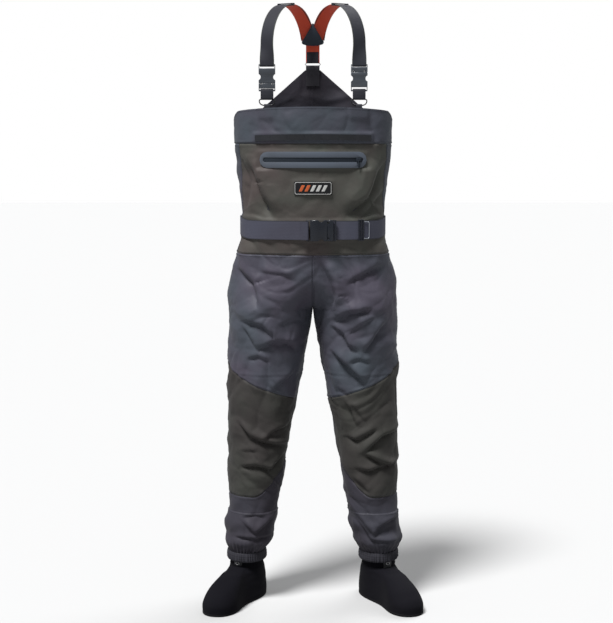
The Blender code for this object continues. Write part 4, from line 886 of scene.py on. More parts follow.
    def offset(self, points: np.ndarray) -> np.ndarray:
        """How far the cloth stands out of the plain form at each point.

        Args:
            points: places on the plain form, one row each.

        Returns:
            The distance for each point, in metres.
        """
        x, y, z = points[:, 0], points[:, 1], points[:, 2]
        facing = smooth_array((FORM.body_y + 0.025 - y) / 0.05)
        result = np.zeros(len(points))
        for weight, creases in ((facing, self.front), (1.0 - facing, self.back)):
            for crease in creases:
                near = np.abs(z - np.mean([p[1] for p in crease.path])) < 0.16
                result[near] += weight[near] * crease.height(x[near], z[near])
        leg = 1.0 - 0.50 * smooth_array((z - 0.93) / 0.10)
        result += leg * self.crumple(points)
        inside = smooth_array((0.262 - z) / 0.02)
        result *= 1.0 - 0.25 * inside
        return self.calm(x, y, z, result)

    @staticmethod
    def crumple(points: np.ndarray) -> np.ndarray:
        """Facets of crumpled cloth at two sizes."""
        values = np.empty(len(points))
        for index, (x, y, z) in enumerate(points):
            warp = noise.noise(Vector((x * 7, y * 7, z * 5 + 3.0)))
            broad = Vector((x * 8 + warp, y * 8, z * 12 + warp * 1.5))
            fine = Vector((x * 21 + z * 8, y * 21 + warp, z * 30 - x * 6 + warp * 2))
            facet = noise.noise(broad, noise_basis="VORONOI_F2F1")
            small = noise.noise(fine, noise_basis="VORONOI_F2F1")
            values[index] = 0.0056 * (facet - 0.35) + 0.0013 * (small - 0.35) + 0.0030 * warp
        return values

    @staticmethod
    def calm(x: np.ndarray, y: np.ndarray, z: np.ndarray, relief: np.ndarray) -> np.ndarray:
        """Presses the cloth flat where the belt, the pocket, the badge and the braces hold it."""
        front = smooth_array((0.0 - y) / 0.03)
        side = np.maximum(smooth_array((np.abs(x) - 0.128) / 0.04), 1.0 - front)
        belt = within(z - (BELT_Z + BELT_RISE * side), 0.034, 0.010)
        zip_zone = within(z - ZIP_Z, 0.030, 0.012) * within(x, 0.158, 0.015) * front
        strip = within(z - STRIP_Z, 0.018, 0.010) * within(x, 0.170, 0.015) * front
        badge = within(z - BADGE_Z, 0.030, 0.014) * within(x, 0.064, 0.015) * front
        braces = smooth_array((z - 1.325) / 0.02) * within(np.abs(x) - STRAP_X, 0.032, 0.012) * front
        tab = smooth_array((z - 1.405) / 0.02) * within(x, 0.04, 0.015) * smooth_array((y - 0.05) / 0.02)
        pressed = np.maximum.reduce([belt, zip_zone, strip, badge, braces, tab])
        limit = np.clip(relief, -0.0160, 0.0085)
        return limit * (1.0 - pressed) - 0.0006 * pressed


FOLDS = Folds()


# ---------------------------------------------------------------- panels


@dataclass
class Stitching:
    """Rows of single stitches, each a small thread body laid along a line."""

    pitch: float = 0.0036
    length: float = 0.0026
    radius: float = 0.00042

    def row(self, bench: Bench, name: str,
            lines: Sequence[tuple[np.ndarray, np.ndarray]]) -> bpy.types.Object:
        """Lays stitches along each line.

        Args:
            bench: the bench.
            name: the piece's name.
            lines: points and outward directions of each line.

        Returns:
            One piece that holds every stitch.
        """
        bench.clear()
        bpy.ops.mesh.primitive_uv_sphere_add(segments=6, ring_count=4, radius=1.0)
        piece = bpy.context.object
        piece.name = name
        template = np.array([v.co for v in piece.data.vertices])
        template = template[:, [2, 0, 1]] * (self.length / 2, self.radius, self.radius)
        faces = [tuple(f.vertices) for f in piece.data.polygons]
        vertices: list[np.ndarray] = []
        polygons: list[tuple[int, ...]] = []
        for points, outward in lines:
            gaps = np.linalg.norm(np.diff(points, axis=0), axis=1)
            along = np.concatenate([[0.0], np.cumsum(gaps)])
            count = int(along[-1] / self.pitch)
            for index in range(count):
                at = (index + 0.5) * self.pitch
                middle = np.array([np.interp(at, along, points[:, k]) for k in range(3)])
                ahead = np.array([np.interp(at + 0.001, along, points[:, k]) for k in range(3)])
                up = np.array([np.interp(at, along, outward[:, k]) for k in range(3)])
                first = ahead - middle
                first /= np.linalg.norm(first) + 1e-12
                third = up - first * np.dot(up, first)
                third /= np.linalg.norm(third) + 1e-12
                second = np.cross(third, first)
                turn = np.stack([first, second, third])
                base = len(vertices) * len(template)
                vertices.append(template @ turn + middle + third * self.radius * 0.4)
                polygons.extend(tuple(base + v for v in face) for face in faces)
        mesh = bpy.data.meshes.new(name)
        mesh.from_pydata(np.concatenate(vertices).tolist(), [], polygons)
        piece.data = mesh
        bench.pick(piece)
        bpy.ops.object.shade_smooth()
        return bench.dress(piece, "thread")


@dataclass
class Panel:
    """One cut panel of cloth between two heights and two shares of the way round."""

    name: str
    node: str
    finish: str
    place: Place
    top: Callable[[float], float]
    bottom: Callable[[float], float]
    shares: Callable[[float], tuple[float, float]]
    width: float
    length: float
    side: int = 1
    wall: float = 0.0012
    seams: str = "tblr"
    stitched: str = ""
    closed: bool = False
    stitch_gap: float = 0.0048
    extra: Callable[[float, float, Vector], float] | None = None
    lines: list = field(default_factory=list)

    def ticks(self, size: float) -> list[float]:
        """Shares from 0 to 1 with close lines beside both edges."""
        close = [0.0, 0.0012 / size, 0.0030 / size, 0.0055 / size]
        count = max(int(size / STEP), 6)
        middle = spread(0.0095 / size, 1 - 0.0095 / size, count)
        return close + middle + [1 - share for share in reversed(close)]

    def seam_relief(self, u: float, v: float, width: float, length: float, point: Vector) -> float:
        """The dip at a seam's line and the pucker beside it."""
        gaps = {"l": u * width, "r": (1 - u) * width, "t": v * length, "b": (1 - v) * length}
        total = 0.0
        for edge in self.seams:
            gap = gaps[edge]
            if gap > 0.03:
                continue
            run = point.z if edge in "lr" else point.x + point.y
            ripple = noise.noise(Vector((run * 110, gap * 30, 5.0)))
            total += 0.0009 * ripple * math.exp(-gap / 0.009) * smooth(gap / 0.004)
            total -= 0.0013 * math.exp(-((gap / 0.0017) ** 2))
            total += 0.0007 * math.exp(-(((gap - 0.0045) / 0.0025) ** 2))
        return total

    def surface(self, pairs: Sequence[tuple[float, float]]) -> tuple[np.ndarray, np.ndarray]:
        """Places of grid shares (u, v) on the creased cloth, and their outward directions."""
        points, outward, relief = [], [], []
        for u, v in pairs:
            start, end = self.shares(v)
            share = mix(start, end, u)
            height = mix(self.top(share), self.bottom(share), v)
            point, out = self.place(height, share)
            point = Vector((self.side * point.x, point.y, point.z))
            out = Vector((self.side * out.x, out.y, out.z))
            bumps = self.seam_relief(u, v, self.width, self.length, point)
            if self.extra:
                bumps += self.extra(u, v, point)
            points.append(point)
            outward.append(out)
            relief.append(bumps)
        places, outs = np.array(points), np.array(outward)
        total = FOLDS.offset(places) + np.array(relief)
        shift = outs * total[:, None]
        if self.place == FORM.leg_place:
            inner = places[:, 0] * self.side
            shift[:, 0] *= smooth_array(inner / 0.012)
            moved = places + shift
            moved[:, 0] = self.side * np.maximum(moved[:, 0] * self.side, np.minimum(inner, 0.0006))
            return moved, outs
        return places + shift, outs

    def build(self, bench: Bench) -> bpy.types.Object:
        us = spread(0.0, 1.0, int(self.width / STEP)) if self.closed else self.ticks(self.width)
        vs = self.ticks(self.length)
        places, outs = self.surface([(u, v) for v in vs for u in us])
        shape = (len(vs), len(us), 3)
        uvs = np.array([[(u * self.width, -v * self.length) for u in us] for v in vs])
        piece = bench.sheet(self.name, places.reshape(shape), uvs, outs.reshape(shape), self.wall,
                            closed=self.closed)
        bench.dress(piece, self.finish, replaced=[self.node])
        grid = places.reshape(shape)
        across = np.linalg.norm(np.diff(grid, axis=1), axis=2).sum(axis=1)
        down = np.linalg.norm(np.diff(grid, axis=0), axis=2).sum(axis=0)
        flat = (round(float(across.max()), 3), round(float(down.max()), 3))
        LOG.info("%s is cut from %.3f by %.3f m", self.name, *flat)
        self.sew()
        return piece

    def sew(self) -> None:
        """Keeps the lines of stitches that run beside the stitched edges."""
        steps = spread(0.004, 0.996, 160)
        inset = {"t": self.length, "b": self.length, "l": self.width, "r": self.width}
        for edge in self.stitched:
            near_edge = self.stitch_gap / inset[edge]
            fixed = near_edge if edge in "tl" else 1 - near_edge
            pairs = [(step, fixed) if edge in "tb" else (fixed, step) for step in steps]
            self.lines.append(self.surface(pairs))


@dataclass
class Torso:
    """The chest: front yoke, front bib, back panel and the high back."""

    bib_top: float = 0.40
    bib_waist: float = 0.485
    half_top: float = 0.0205
    slope: float = 0.889
    lines: list = field(default_factory=list)

    def bib_edge(self, height: float) -> float:
        """Where the bib's side seam runs, as a share of the way round."""
        return mix(self.bib_waist, self.bib_top, (height - FORM.waist) / (FORM.yoke - FORM.waist))

    def chest_line(self, share: float) -> float:
        """The height of the chest's top edge."""
        share = abs(share)
        bow = 0.45 * (share * 2) ** 2 + 0.55 * smooth(share * 10 - 4)
        return FORM.chest_top - (FORM.chest_top - FORM.chest_side) * bow

    def back_line(self, share: float) -> float:
        """The height of the high back's top edge."""
        across = abs(FORM.torso_point(FORM.yoke, share).x) - self.half_top
        return max(FORM.high_back - self.slope * max(across, 0.0), FORM.chest_side)

    @staticmethod
    def centre_groove(u: float, v: float, point: Vector) -> float:
        """The seam down the middle of the high back."""
        return 0.0009 * math.exp(-(((abs(point.x) - 0.004) / 0.0025) ** 2)) - 0.0012 * math.exp(
            -((point.x / 0.0020) ** 2))

    def build(self, bench: Bench) -> None:
        """Builds the four panels."""
        def side_seams(v: float) -> tuple[float, float]:
            edge = self.bib_edge(mix(FORM.yoke, FORM.waist, v))
            return -edge, edge

        def back_seams(v: float) -> tuple[float, float]:
            edge = self.bib_edge(mix(FORM.yoke, FORM.waist, v))
            return edge, 2 - edge

        panels = (
            Panel("yoke_cloth", "front_yoke", "charcoal", FORM.torso_place, self.chest_line,
                  lambda s: FORM.yoke, lambda v: (-0.5, 0.5), 0.56, 0.095, seams="blr", stitched="tb"),
            Panel("bib_cloth", "front_bib", "olive", FORM.torso_place, lambda s: FORM.yoke,
                  lambda s: FORM.waist, side_seams, 0.47, 0.297, stitched="blr"),
            Panel("back_cloth", "back_panel", "charcoal", FORM.torso_place, lambda s: FORM.yoke,
                  lambda s: FORM.waist, back_seams, 0.60, 0.297, stitched="tb"),
            Panel("high_back_cloth", "high_back", "dark_charcoal", FORM.torso_place, self.back_line,
                  lambda s: FORM.yoke, lambda v: (0.5, 1.5), 0.54, 0.14, seams="blr", stitched="t",
                  extra=self.centre_groove),
        )
        for panel in panels:
            panel.build(bench)
            self.lines += panel.lines


@dataclass
class Leg:
    """One leg: front thigh, knee and shin panels, the back leg, the guard and its hem."""

    side: int
    word: str
    thigh_seam: float = 0.642
    cuff: float = 0.150
    guard_top: float = 0.256
    guard_end: float = 0.1375
    gathers: int = 34
    hem_section: tuple[float, float, float, float] = (0.186, 0.0530, 0.0620, -0.006)
    hem_heights: tuple[float, float] = (0.1385, 0.1125)
    hem_folds: int = 46
    lines: list = field(default_factory=list)

    @staticmethod
    def thigh_end(share: float) -> float:
        """The height of the seam between thigh and knee."""
        return mix(*THIGH_ENDS, (min(max(share, 0.0), 0.5) * 2) ** 1.5)

    @staticmethod
    def knee_end(share: float) -> float:
        """The height of the seam between knee and shin."""
        return mix(*KNEE_ENDS, smooth(share * 4))

    def thigh_groove(self, u: float, v: float, point: Vector) -> float:
        """The fine groove of the seam across the thigh."""
        gap = point.z - self.thigh_seam
        ridge = 0.0006 * math.exp(-(((gap - 0.005) / 0.003) ** 2))
        return -0.0011 * math.exp(-((gap / 0.0020) ** 2)) + ridge

    def guard_gathers(self, u: float, v: float, point: Vector) -> float:
        """The gathers that the hem draws into the guard, and its soft rolls."""
        turn = u * math.tau
        wander = 1.6 * noise.noise(Vector((math.cos(turn) * 2, math.sin(turn) * 2, self.side * 3.0)))
        low = smooth((v - 0.45) / 0.55)
        pleat = math.sin(self.gathers * turn + 3 * wander)
        roll = math.sin(v * 9.0 + 1.4 * math.sin(turn + self.side) + 2 * wander)
        puff = 0.0045 * math.exp(-(((v - 0.72) / 0.16) ** 2))
        return 0.0021 * low * low * pleat + 0.0030 * smooth(v * 3) * (1 - low * 0.6) * roll + puff

    def guard_place(self, height: float, share: float) -> tuple[Vector, Vector]:
        """A point on the gravel guard."""
        return FORM.oval(FORM.at_height(FORM.guard, height), share * math.tau, height)

    def build(self, bench: Bench) -> None:
        """Builds every panel of the leg."""
        word, side = self.word, self.side
        panels = (
            Panel(f"thigh_cloth_{word}", f"thigh_front_{word}", "charcoal", FORM.leg_place,
                  lambda s: FORM.waist, self.thigh_end, lambda v: (0.0, 0.5), 0.34, 0.36, side,
                  stitched="tlrb", extra=self.thigh_groove),
            Panel(f"knee_cloth_{word}", f"knee_panel_{word}", "knee", FORM.leg_place, self.thigh_end,
                  self.knee_end, lambda v: (0.0, 0.5), 0.30, 0.26, side, stitched="b"),
            Panel(f"shin_cloth_{word}", f"shin_panel_{word}", "dark_charcoal", FORM.leg_place, self.knee_end,
                  lambda s: self.cuff, lambda v: (0.0, 0.5), 0.24, 0.16, side),
            Panel(f"back_leg_cloth_{word}", f"back_leg_{word}", "charcoal", FORM.leg_place,
                  lambda s: FORM.waist, lambda s: self.cuff, lambda v: (0.5, 1.0), 0.32, 0.825, side,
                  stitched="t"),
            Panel(f"guard_cloth_{word}", f"gravel_guard_{word}", "dark_charcoal", self.guard_place,
                  lambda s: self.guard_top, lambda s: self.guard_end, lambda v: (0.0, 1.0), 0.46, 0.125,
                  side, seams="t", stitched="t", closed=True, extra=self.guard_gathers),
        )
        for panel in panels:
            panel.build(bench)
            self.lines += panel.lines
        self.hem(bench)

    def hem_spot(self, level: float, share: float) -> tuple:
        """A point of the gathered hem, with its cloth coordinates and outer direction."""
        turn = share * math.tau
        point, out = FORM.oval(self.hem_section, turn, mix(*self.hem_heights, level))
        wander = noise.noise(Vector((math.cos(turn) * 4, math.sin(turn) * 4, 8.0)))
        fold = math.sin(self.hem_folds * turn + 4 * wander)
        round_over = 0.0022 * (1 - (2 * level - 1) ** 4)
        point += out * (0.0016 * fold * (0.4 + 0.6 * level) + round_over
                        + 0.0006 * math.sin(level * 4 * math.tau))
        point.z += 0.0010 * fold * (level - 0.5)
        return ((self.side * point.x, point.y, point.z), (share * 0.52, -level * 0.026),
                (self.side * out.x, out.y, 0.0))

    def hem(self, bench: Bench) -> None:
        """The gathered elastic hem under the guard."""
        piece = bench.lay(f"hem_band_{self.word}", spread(0.0, 1.0, 12), spread(0.0, 1.0, 277),
                          self.hem_spot, 0.0026, closed=True)
        bench.dress(piece, "hem", replaced=[f"hem_elastic_{self.word}"])


@dataclass
class Bootie:
    """A neoprene sock foot: the upper, the sole and the tab that backs the lace hook."""

    side: int
    word: str
    ankle: tuple[float, float] = (0.186, -0.006)
    toe_out: float = math.radians(27.0)
    half_length: float = 0.052
    half_width: float = 0.045
    top: float = 0.149
    instep: float = 0.095
    toe_edge: float = 0.022
    sole: float = 0.0075
    outline: tuple = ((0.205, 0.000), (0.190, 0.032), (0.150, 0.047), (0.080, 0.045), (0.000, 0.047),
                      (-0.050, 0.035), (-0.078, 0.000), (-0.050, -0.035), (0.000, -0.047),
                      (0.080, -0.041), (0.150, -0.049), (0.190, -0.034))

    def place(self, forward: float, outward: float, height: float) -> Vector:
        """A point given forward along the foot, out across it and above the ground."""
        ahead = Vector((self.side * math.sin(self.toe_out), -math.cos(self.toe_out), 0.0))
        across = Vector((self.side * math.cos(self.toe_out), math.sin(self.toe_out), 0.0))
        origin = Vector((self.side * self.ankle[0], FORM.body_y + self.ankle[1], height))
        return origin + ahead * forward + across * outward

    def curve(self, steps: int) -> list[tuple[float, float]]:
        """The sole's outline on a smooth closed curve through its points."""
        count = len(self.outline)
        points = []
        for index in range(count):
            four = [Vector(self.outline[(index + k) % count]) for k in (-1, 0, 1, 2)]
            points += [tuple(between(four, step / steps)) for step in range(steps)]
        return points

    def upper(self, bench: Bench) -> None:
        """The stretchy upper, with a raised glued seam down each side and round the instep."""
        bottom = self.sole + 0.0002
        outline = self.curve(10)
        outline.append(outline[0])
        rows, outs = [], []
        for point in outline:
            reach = math.hypot(*point)
            direction = (point[0] / reach, point[1] / reach)
            scale = 1 / math.hypot(direction[0] / self.half_length, direction[1] / self.half_width)
            ankle = (direction[0] * scale, direction[1] * scale)
            column = [(*ankle, height) for height in spread(self.top, self.instep, 12)]
            for angle in spread(0.0, math.pi / 2, 30)[1:]:
                out = math.sin(angle) ** 1.25
                drop = math.cos(angle) ** 1.25
                column.append((mix(ankle[0], point[0], out), mix(ankle[1], point[1], out),
                               mix(self.toe_edge, self.instep, drop)))
            column += [(*point, height) for height in spread(self.toe_edge, bottom, 6)[1:]]
            turn = math.atan2(direction[1], direction[0])
            placed, out_row = [], []
            for index, (forward, outward, height) in enumerate(column):
                level = index / (len(column) - 1)
                wrinkle = noise.noise(Vector((forward * 30, outward * 22, height * 55 + self.side)))
                crease = math.sin(height * 330 + 2 * wrinkle) * math.exp(-((height - 0.098) / 0.020) ** 2)
                front = smooth((math.cos(turn) - 0.1) / 0.6)
                seam = math.exp(-((abs(turn) - 1.75) / 0.035) ** 2) * smooth((height - 0.03) / 0.03)
                welt = math.exp(-((height - self.sole - 0.009) / 0.0016) ** 2) * (level > 0.7)
                bump = (0.0011 * wrinkle + 0.0014 * crease * front + 0.0010 * seam + 0.0007 * welt)
                slim = 1 - level * 0.4
                out_vec = Vector((direction[0], direction[1]))
                forward += out_vec.x * bump * slim
                outward += out_vec.y * bump * slim
                height += 0.6 * bump * smooth((0.12 - height) / 0.03) * smooth((height - 0.02) / 0.02)
                spot = self.place(forward, outward, height)
                centre = self.place(0.02, 0.0, height - 0.02)
                placed.append(tuple(spot))
                out_row.append(tuple((spot - centre).normalized()))
            rows.append(placed)
            outs.append(out_row)
        grid = np.array(rows).transpose(1, 0, 2)
        outward_grid = np.array(outs).transpose(1, 0, 2)
        gaps = np.linalg.norm(np.diff(grid, axis=0), axis=2).mean(axis=1)
        down = np.concatenate([[0.0], np.cumsum(gaps)])
        uvs = np.array([[(i * 0.005, -d) for i in range(grid.shape[1])] for d in down])
        piece = bench.sheet(f"bootie_{self.word}", grid, uvs, outward_grid, 0.0034, closed=True)
        bench.dress(piece, "neoprene", replaced=[f"bootie_upper_{self.word}"])

    def under(self, bench: Bench) -> None:
        """The flat sole, cut to the outline and rounded at its rim."""
        outline = self.curve(8)
        bench.clear()
        bpy.ops.mesh.primitive_circle_add(vertices=len(outline), radius=1.0, fill_type="NGON")
        piece = bpy.context.object
        piece.name = f"bootie_foot_{self.word}"
        for vertex, point in zip(piece.data.vertices, outline):
            vertex.co = self.place(*point, 0.0)
        bench.modify(piece, "SOLIDIFY", thickness=self.sole, offset=0.0)
        lift = min(v.co.z for v in piece.data.vertices)
        piece.data.transform(Matrix.Translation((0.0, 0.0, -lift)))
        bpy.ops.object.mode_set(mode="EDIT")
        bpy.ops.mesh.select_all(action="SELECT")
        bpy.ops.mesh.normals_make_consistent(inside=False)
        bpy.ops.object.mode_set(mode="OBJECT")
        bench.modify(piece, "BEVEL", width=0.0018, segments=3, limit_method="ANGLE")
        bpy.ops.object.shade_smooth_by_angle(angle=math.radians(40))
        bench.dress(piece, "sole", replaced=[f"bootie_sole_{self.word}"])

    def hook_tab(self, bench: Bench) -> None:
        """The black tab that the lace hook is riveted through, with the hook over it."""
        low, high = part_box(f"lace_hook_{self.word}")
        middle = (low.z + high.z) / 2

        def spot(level: float, share: float) -> tuple:
            outward = share * 0.0125
            forward = self.half_length * math.sqrt(1 - (outward / self.half_width) ** 2)
            lift = 0.0011 - 0.0005 * max(abs(share), abs(level)) ** 6
            return (self.place(forward + lift, outward, middle - 0.006 + level * 0.0095),
                    (share * 0.0125, level * 0.0095), self.place(1, 0, 0) - self.place(0, 0, 0))

        tab = bench.lay(f"hook_tab_{self.word}", spread(-1.0, 1.0, 9), spread(-1.0, 1.0, 15), spot, 0.0009)
        bench.dress(tab, "black_web")
        hook = bench.copy_node(f"lace_hook_{self.word}", f"lace_hook_wire_{self.word}")
        bench.modify(hook, "SUBSURF", levels=1, render_levels=1)
        bpy.ops.object.shade_smooth()
        bench.dress(hook, "steel", replaced=[f"lace_hook_{self.word}"])

    def build(self, bench: Bench) -> None:
        """Builds the foot."""
        self.upper(bench)
        self.under(bench)
        self.hook_tab(bench)


# ---------------------------------------------------------------- webbing


@dataclass
class Webbing:
    """Flat woven tape laid along a path."""

    name: str
    node: str
    finish: str
    width: float
    thickness: float
    closed: bool = False

    def build(self, bench: Bench, middles: Sequence[Vector], across: Sequence[Vector]) -> bpy.types.Object:
        """Lays the tape.

        Args:
            bench: the bench.
            middles: the tape's middle line.
            across: a unit vector across the tape at each middle.

        Returns:
            The tape.
        """
        path, sides = self.refine(list(middles), list(across))
        shares = [-0.5, -0.485, -0.46, -0.3, -0.1, 0.1, 0.3, 0.46, 0.485, 0.5]
        grid = np.array([[m + a * (s * self.width) for s in shares] for m, a in zip(path, sides)])
        ahead = np.gradient(np.array([tuple(p) for p in path]), axis=0)
        out = np.cross(ahead, np.array([tuple(a) for a in sides]))
        outs = np.repeat(out[:, None, :], len(shares), axis=1)
        gaps = [0.0] + [(b - a).length for a, b in zip(path, path[1:])]
        along = np.cumsum(gaps)
        uvs = np.array([[(d, s * self.width) for s in shares] for d in along])
        piece = bench.sheet(self.name, grid, uvs, outs, self.thickness, closed=self.closed, offset=0.0)
        return bench.dress(piece, self.finish, replaced=[self.node] if self.node else [])

    def refine(self, middles: list[Vector], across: list[Vector],
               steps: int = 3) -> tuple[list[Vector], list[Vector]]:
        """Puts smooth steps between the path's points."""
        if self.closed:
            middles, across = middles + [middles[0]], across + [across[0]]
        path, sides = [], []
        last = len(middles) - 1
        for index in range(last):
            before = middles[index - 1] if index or not self.closed else middles[last - 1]
            before = before if index or self.closed else middles[0]
            after = middles[min(index + 2, last)] if not self.closed else middles[(index + 2) % last]
            for step in range(steps):
                t = step / steps
                path.append(between((before, middles[index], middles[index + 1], after), t))
                sides.append(across[index].lerp(across[index + 1], t).normalized())
        path.append(middles[-1])
        sides.append(across[-1])
        return path, sides


@dataclass
class Belt:
    """The wading belt: webbing round the waist, its side release buckle and the keeper."""

    width: float = 0.050
    web: float = 0.0020
    front: float = BELT_Z
    rise: float = BELT_RISE
    lay: float = 0.0022
    keeper_rise: float = 0.0026
    keeper_run: tuple[float, float] = (0.078, 0.162)
    buckle_length: float = 0.080
    buckle_start: float = -0.019
    bar: float = 0.0040
    lift: float = 0.0034
    bend: float = 0.0041

    def height(self, share: float) -> float:
        """The belt's middle: level across the front, rising a little to the sides."""
        around = abs(((share + 1.0) % 2.0) - 1.0)
        return self.front + self.rise * smooth((around - 0.34) / 0.16)

    def columns(self) -> tuple[list[Vector], list[Vector]]:
        """The belt's middle line: round the socket's bar and then round the body to the plug."""
        half = self.buckle_length / 2
        place = FORM.arc_frame(self.buckle_start + half, self.front, self.lift + 0.005)
        place = place @ Matrix.Translation((-half, 0, 0))
        middles = [place @ Vector((self.bar / 2 + back, 0.0, self.bend)) for back in (-0.016, -0.008)]
        for angle in spread(0.0, math.pi, 9):
            middles.append(place @ Vector((self.bar / 2 + self.bend * math.sin(angle), 0.0,
                                           self.bend * math.cos(angle))))
        for back in (0.012, 0.022, 0.032):
            low = self.lift + 0.005 - self.bend + 0.002
            out = mix(low, self.lay, smooth(back / 0.036))
            middles.append(FORM.arc_point(self.buckle_start - back, self.front, out))
        half_width, _ = FORM.at_height(FORM.torso, self.front)
        turn, small = FORM.quarter(half_width, FORM.front_depth)
        length = FORM.front_radius * turn + small * (math.pi / 2 - turn)
        first = self.buckle_start - 0.044
        last = self.buckle_start + self.buckle_length - self.bar - 0.0034
        for share in spread(2 + first / length / 2, last / length / 2, 57):
            along = share * length * 2
            start, end = self.keeper_run
            raised = smooth((along - start) / 0.012) * (1 - smooth((along - end) / 0.012))
            middles.append(FORM.torso_point(self.height(share), share, self.lay + self.keeper_rise * raised))
        return middles, [Vector((0, 0, 1))] * len(middles)

    def build(self, bench: Bench) -> None:
        """Builds the belt and its hardware."""
        tape = Webbing("belt_tape", "belt_web", "belt", self.width, self.web)
        tape.build(bench, *self.columns())
        for node, name in (("belt_buckle_socket", "belt_socket"), ("belt_buckle_plug", "belt_plug"),
                           ("belt_buckle_arm_lower", "belt_arm_low"),
                           ("belt_buckle_arm_upper", "belt_arm_high"),
                           ("belt_keeper", "belt_slide")):
            Hardware(node, name, "black_plastic").build(bench)
        self.keeper_wire(bench)

    def keeper_wire(self, bench: Bench) -> None:
        """The pale wire loop at the keeper's outer side."""
        _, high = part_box("belt_keeper")
        start = FORM.front_radius * math.asin(high.x / FORM.front_radius) - 0.003
        half, corner, reach = 0.0225, 0.005, 0.0150
        out = self.lay + self.keeper_rise + self.web / 2 + 0.0016
        path = [(start, half), (start + 0.004, half)]
        for turn in spread(math.pi / 2, -math.pi / 2, 19):
            rise = half - corner if turn >= 0 else corner - half
            path.append((start + reach - corner + corner * math.cos(turn), rise + corner * math.sin(turn)))
        path += [(start + 0.004, -half), (start, -half)]
        bench.wire("keeper_wire", [FORM.arc_point(x, self.front + z, out) for x, z in path], 0.0010)
        bench.dress(bpy.context.object, "wire", body_of("belt_keeper"))


@dataclass
class Hardware:
    """A moulded or bent part that keeps the frame's shape and gets soft edges."""

    node: str
    name: str
    finish: str
    edge: float = 0.00045
    wire: bool = False

    def build(self, bench: Bench) -> bpy.types.Object:
        """Copies the node, rounds it and dresses it on the node's own body."""
        piece = bench.copy_node(self.node, self.name)
        if self.wire:
            bench.modify(piece, "SUBSURF", levels=1, render_levels=1)
            bpy.ops.object.shade_smooth()
        else:
            bench.modify(piece, "BEVEL", width=self.edge, segments=2, limit_method="ANGLE",
                         angle_limit=math.radians(40), use_clamp_overlap=True)
            bpy.ops.object.shade_smooth_by_angle(angle=math.radians(35))
        return bench.dress(piece, self.finish, body_of(self.node), [self.node])


@dataclass
class Brace:
    """One shoulder brace, from its ring on the chest over the shoulder to the back patch."""

    side: int
    word: str
    strap_x: float = STRAP_X
    back_x: float = 0.012
    back_y: float = 0.130
    top: float = 1.646
    width: float = 0.038
    web: float = 0.0016
    pin: float = 0.0031
    ring_bar: float = 1.392
    ring_drop: float = 0.020
    buckle_length: float = 0.071
    half_bar: float = 0.0020
    clearance: float = 0.0003

    def __post_init__(self) -> None:
        """Sets out the arch that the brace makes over the shoulder."""
        surface = FORM.axis_y - math.sqrt(FORM.front_radius**2 - self.strap_x**2)
        self.front_y = surface + 0.0025 + self.pin + self.web + 0.0060
        front = Vector((self.side * self.strap_x, self.front_y, 0.0))
        back = Vector((self.side * self.back_x, self.back_y, 0.0))
        self.radius = (back - front).length / 2
        self.along = (back - front).normalized()
        self.across = Vector((-self.along.y, self.along.x, 0.0))
        if self.across.x < 0:
            self.across.negate()
        self.centre = (front + back) / 2 + Vector((0, 0, self.top - self.radius))

    def point(self, angle: float) -> Vector:
        """A point of the arch: angle 0 is the front spring line, a half turn the back one."""
        return (self.centre - self.along * (self.radius * math.cos(angle))
                + Vector((0, 0, self.radius * math.sin(angle))))

    def hairpin(self, x: float, y: float, z: float, tail: float) -> list[Vector]:
        """Half a loop round a bar with its short tail behind and its open side up."""
        radius = self.pin + self.web / 2
        points = [Vector((x, y + radius, z + tail)), Vector((x, y + radius, z + tail / 2))]
        for angle in spread(0.0, math.pi, 9):
            points.append(Vector((x, y + radius * math.cos(angle), z - radius * math.sin(angle))))
        return points

    def front_tape(self, bench: Bench) -> None:
        """The charcoal front half, from the buckle's bar to the top of the shoulder."""
        radius = self.pin + self.web / 2
        x, y = self.side * self.strap_x, self.front_y
        bar = self.ring_bar + self.ring_drop - self.half_bar + self.buckle_length - self.half_bar
        middles = self.hairpin(x, y, bar, 0.016)
        across = [Vector((1, 0, 0))] * len(middles)
        start = Vector((x, y - radius, bar))
        for share in spread(0.0, 1.0, 6)[1:]:
            target = self.point(0.0)
            eased = smooth(share)
            middles.append(Vector((mix(start.x, target.x, eased), mix(start.y, target.y, eased),
                                   mix(bar, self.centre.z, share))))
            across.append(Vector((1, 0, 0)).lerp(self.across, smooth(share)).normalized())
        for angle in spread(0.0, math.pi / 2 - self.clearance / self.radius, 14)[1:]:
            middles.append(self.point(angle))
            across.append(self.across)
        tape = Webbing(f"brace_front_{self.word}", f"front_strap_{self.word}", "brace", self.width, self.web)
        tape.build(bench, middles, across)

    def build(self, bench: Bench) -> None:
        """Builds the brace and its hardware."""
        self.front_tape(bench)
        word = self.word
        for part in ("socket", "plug", "arm_a", "arm_b"):
            Hardware(f"brace_buckle_{part}_{word}", f"brace_{part}_{word}", "grey_plastic").build(bench)
        Hardware(f"shoulder_adjuster_{word}", f"shoulder_slide_{word}", "black_plastic").build(bench)
        Hardware(f"d_ring_{word}", f"bowed_ring_{word}", "ring", wire=True).build(bench)
        for node, name, finish in ((f"back_strap_{word}", f"brace_back_{word}", "orange"),
                                   (f"ring_loop_{word}", f"loop_tape_{word}", "brace"),
                                   (f"brace_anchor_{word}", f"anchor_tape_{word}", "brace")):
            TapeCopy(node, name, finish, self.side).build(bench)


